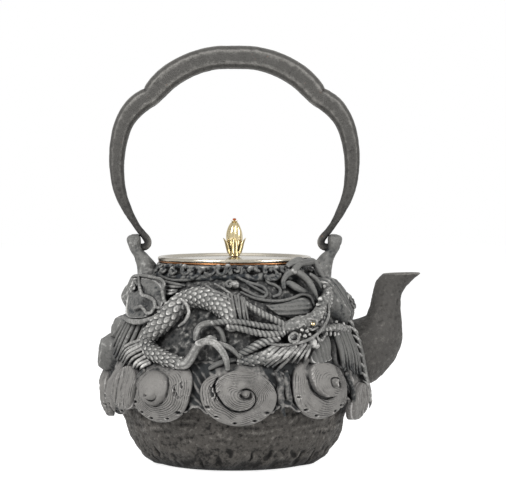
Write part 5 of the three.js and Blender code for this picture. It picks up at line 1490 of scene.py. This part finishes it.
def border_curl(random, middle, face):
    """One curl of the border, and a lump beside it."""
    size = random.uniform(2.8, 4.5)
    turns = random.choice((-1, 1)) * random.uniform(3.6, 5.6)
    start = random.uniform(0, TURN)
    z = 106.8 + random.uniform(-1.3, 1.3)
    curl = []
    for t in np.linspace(0, 1, 12):
        reach = size * (1 - 0.7 * t)
        x = middle + 1.1 * reach * math.cos(start + turns * t)
        curl.append((x, z + 0.85 * reach * math.sin(start + turns * t), 2.0 + 1.2 * t, 1.25 - 0.3 * t))
    at = middle + random.uniform(2, 5)
    low = z + random.uniform(-2, 2.4)
    lump = [(at, low, 1.6, 1.3), (at + 1.5, low + 1, 2.2, 1.5), (at + 3, low + 0.4, 1.6, 1.1)]
    return [
        tube(curl, face, wrapped=True, sides=18, step=0.4, relief=knobbly(0.3, 1.8)),
        tube(lump, face, wrapped=True, sides=16, step=0.4),
    ]


def cloud_border():
    for name, face, seed in (("cloud_border_front", FRONT, 2), ("cloud_border_back", BACK, 3)):
        random = np.random.default_rng(seed)
        band = [(t, 104.8 + 0.5 * math.sin(0.4 * t), 0.2, 2.0) for t in range(-60, 61, 5)]
        parts = [tube(band, face, wrapped=True, sides=24, step=0.7, relief=knobbly(0.9, 2.6))]
        for k in range(BORDER_CURLS):
            parts += border_curl(random, -58 + 8.3 * k + random.uniform(-1.8, 1.8), face)
        relief_piece(name + "_curls", parts, name, (0.3, 1.4), tone=-0.2)


# Spout's fronds, and the back

FROND = [
    (73, 79, 4.6, 0.8), (75.4, 69.3, 6.4, 1.2), (76.2, 60.3, 7.4, 1.5), (76.4, 49.5, 8.9, 1.6),
    (79.2, 40.5, 11.3, 1.3), (81.4, 34.4, 12.6, 0.5),
]
FROND_TEETH = 10
# A tooth and a vein of the frond, from its spine: angle and height away, height over the spine, radius
FROND_TOOTH = [(-0.6, 1, 0, 1.0), (1.5, -0.8, 0.4, 0.95), (3, -4, 0.2, 0.3)]
FROND_VEIN = [(0, 0, 0, 0.9), (-2.2, 2.2, -0.8, 0.8), (-4, 3.4, -2, 0.4)]
TAIL = [
    (-48, 79, -5, 3.6), (-44, 88, 2.4, 5.6), (-34, 97, 3, 5.8), (-21, 98, 3, 5.6), (-11, 90, 3, 5.4),
    (-6, 79, 3, 5), (3, 69.6, 3, 4.6), (16, 67.4, 3, 4.2), (27, 73, 3, 3.6), (32, 83, 3, 3),
    (40, 90, 2.6, 2.2),
]
TAIL_FIN = [
    [(39, 89.6, 2.4, 1.8), (45.6, 93.6, 2.6, 1.6), (51, 94, 2, 0.8)],
    [(39, 89.6, 2.4, 1.8), (46, 88.6, 2.6, 1.6), (52, 86, 2, 0.8)],
    [(39, 89.6, 2.4, 1.8), (41.6, 96, 2.6, 1.6), (41, 100.6, 2, 0.8)],
]
BACK_LEG = [(-2, 84, 3, 3.6), (8, 87, 3.4, 3.4), (15, 83.6, 4, 2.8)]
BACK_TALONS = [
    [(14, 84, 4.4, 2), (21, 86.4, 5, 1.8), (25.6, 81.6, 3.6, 0.9)],
    [(14, 84, 4.4, 2), (18.6, 91, 5, 1.8), (25, 91.6, 3.6, 0.9)],
    [(14, 83.4, 4.4, 2), (13.6, 91, 5, 1.8), (17.6, 96.4, 3.6, 0.9)],
]
BACK_RIBBONS = [
    [(-8, 100, 0.9, 1.2), (4, 103, 0.9, 1.3), (16, 101, 0.9, 1.3), (30, 103, 0.9, 1.1)],
    [(-54, 76, 0.9, 1.2), (-44, 71, 0.9, 1.3), (-34, 74.6, 0.9, 1.3), (-22, 70, 0.9, 1.1)],
]


def fronds():
    """A saw-edged leaf down each side of the spout's root, its teeth towards the spout."""
    for side, name in ((1, "spout_frond_front"), (-1, "spout_frond_back")):
        spine = [(90 + side * (angle - 90), z, proud, radius) for angle, z, proud, radius in FROND]
        parts = [tube(spine, wrapped=True, sides=20, step=0.4, relief=flutes(5, 0.2))]
        for angle, z, proud, _ in catmull(spine, np.linspace(0.04, 0.93, FROND_TEETH)):
            for branch in (FROND_TOOTH, FROND_VEIN):
                path = []
                for out, up, rise, radius in branch:
                    path.append((angle + side * out, z + up, proud + rise, radius))
                parts.append(tube(path, wrapped=True, sides=12, step=0.4))
        relief_piece(name + "_leaf", parts, name, (0.1, 1.3))


def dragon_back():
    tail = tube(TAIL, BACK, sides=64, step=0.4, relief=scales(2.6, 10, 0.8))
    relief_piece("tail", [tail], "dragon_tail", (0.06, 1))
    fins = strands(TAIL_FIN, face=BACK, sides=20, step=0.5, relief=flutes(6, 0.3))
    relief_piece("tail_fin", fins, "dragon_tail_fin")
    leg = tube(BACK_LEG, BACK, sides=56, step=0.4, relief=scales(2.2, 9, 0.7))
    hind_leg = [leg, *strands(BACK_TALONS, face=BACK, sides=22, step=0.5)]
    relief_piece("hind_leg", hind_leg, "dragon_hind_leg", (0.08, 1.2))
    for i, path in enumerate(BACK_RIBBONS):
        name = f"back_ribbon_{i + 1:02d}"
        relief_piece(name + "_line", [tube(path, BACK, sides=20, step=0.5)], name, (0.1, 1.4))


# Stage, in metres

FLOOR_REACH = 3.0
FLOOR_GAP = 0.0002
SKY_STRENGTH = 0.34
FLOOR_GLOW = 1.72
GLOW_SHARE = 0.5
# Each lamp: name, place, what it points at, width and length, power in watts
LAMPS = [
    ("key", (-0.75, -0.85, 0.85), (0, 0, 0.07), (0.5, 0.5), 20),
    ("fill", (0.95, -0.6, 0.6), (0, 0, 0.08), (0.5, 0.6), 11),
    ("top", (0.0, 0.1, 1.1), (0, 0, 0.1), (0.7, 0.7), 1.5),
]
CAMERA_PLACE = (0.0104, -1.15, 0.166)
CAMERA_AIM = (0.0104, 0.0, 0.119)
CAMERA_LENS = 146.0
CAMERA_SENSOR = 36.0


def seen_directly(tree):
    """1 for rays from the camera, from reflections and through glass."""
    rays = node(tree, "ShaderNodeLightPath").outputs
    return most(tree, rays["Is Glossy Ray"], rays["Is Transmission Ray"], rays["Is Camera Ray"])


def blended(tree, share, first, second):
    made = node(tree, "ShaderNodeMixShader")
    fill(tree, made.inputs, (share, first, second))
    return made.outputs["Shader"]


def sky():
    """Soft light on the kettle, behind which the background is white."""
    world = bpy.data.worlds.new("studio")
    bpy.context.scene.world = world
    world.use_nodes = True
    tree = world.node_tree
    tree.nodes.clear()
    white = node(tree, "ShaderNodeBackground")
    white.inputs["Color"].default_value = (*WHITE, 1)
    soft = node(tree, "ShaderNodeBackground")
    soft.inputs["Strength"].default_value = SKY_STRENGTH
    shown = blended(tree, seen_directly(tree), soft.outputs["Background"], white.outputs["Background"])
    tree.links.new(shown, node(tree, "ShaderNodeOutputWorld").inputs["Surface"])


def floor():
    """A plain pale floor that looks white and keeps the kettle's shadow."""
    mesh = bpy.data.meshes.new("floor")
    r = FLOOR_REACH
    corners = [(x, y, -FLOOR_GAP) for x, y in ((-r, -r), (r, -r), (r, r), (-r, r))]
    mesh.from_pydata(corners, [], [(0, 1, 2, 3)])
    made = bpy.data.objects.new("floor", mesh)
    bpy.context.scene.collection.objects.link(made)
    material, tree, shader = new_material("white_floor")
    shader.inputs["Base Color"].default_value = (*grey(0.9), 1)
    shader.inputs["Roughness"].default_value = 0.9
    shader.inputs["Specular IOR Level"].default_value = 0.1
    glow = node(tree, "ShaderNodeEmission")
    glow.inputs["Strength"].default_value = FLOOR_GLOW
    share = math_node(tree, "MULTIPLY", seen_directly(tree), GLOW_SHARE)
    shown = blended(tree, share, shader.outputs["BSDF"], glow.outputs["Emission"])
    tree.links.new(shown, tree.nodes["Material Output"].inputs["Surface"])
    mesh.materials.append(material)


def stand(name, data, place, aim):
    """A lamp or camera at its place, pointed at its aim and level with the floor."""
    made = bpy.data.objects.new(name, data)
    made.location = place
    x, y, z = np.array(aim) - np.array(place)
    made.rotation_euler = (math.pi / 2 + math.atan2(z, math.hypot(x, y)), 0, math.atan2(-x, y))
    bpy.context.scene.collection.objects.link(made)
    return made


def stage():
    scene = bpy.context.scene
    scene.view_settings.view_transform = "Standard"
    sky()
    floor()
    for name, place, aim, size, power in LAMPS:
        data = bpy.data.lights.new(name, "AREA")
        data.shape = "RECTANGLE"
        data.size, data.size_y = size
        data.energy = power
        stand(name, data, place, aim)
    data = bpy.data.cameras.new("photo_camera")
    data.lens = CAMERA_LENS
    data.sensor_width = CAMERA_SENSOR
    data.clip_start = 0.05
    scene.camera = stand("photo_camera", data, CAMERA_PLACE, CAMERA_AIM)


def plain_nodes():
    """The few solids that are shown as they are get the finish of what they belong to."""
    for name in ("knob_stem", "knob_washer"):
        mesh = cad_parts[name].data
        mesh.materials.clear()
        mesh.materials.append(COPPER)


stage()
body_shell()
spout()
ear(-1, "ear_left")
ear(1, "ear_right")
handle()
lid()
knob()
wave_skirt()
scrolls()
wave_folds()
dragon_body()
dragon_head()
clouds()
shoulder_shield()
side_forms()
falling_water()
cloud_border()
fronds()
dragon_back()
plain_nodes()
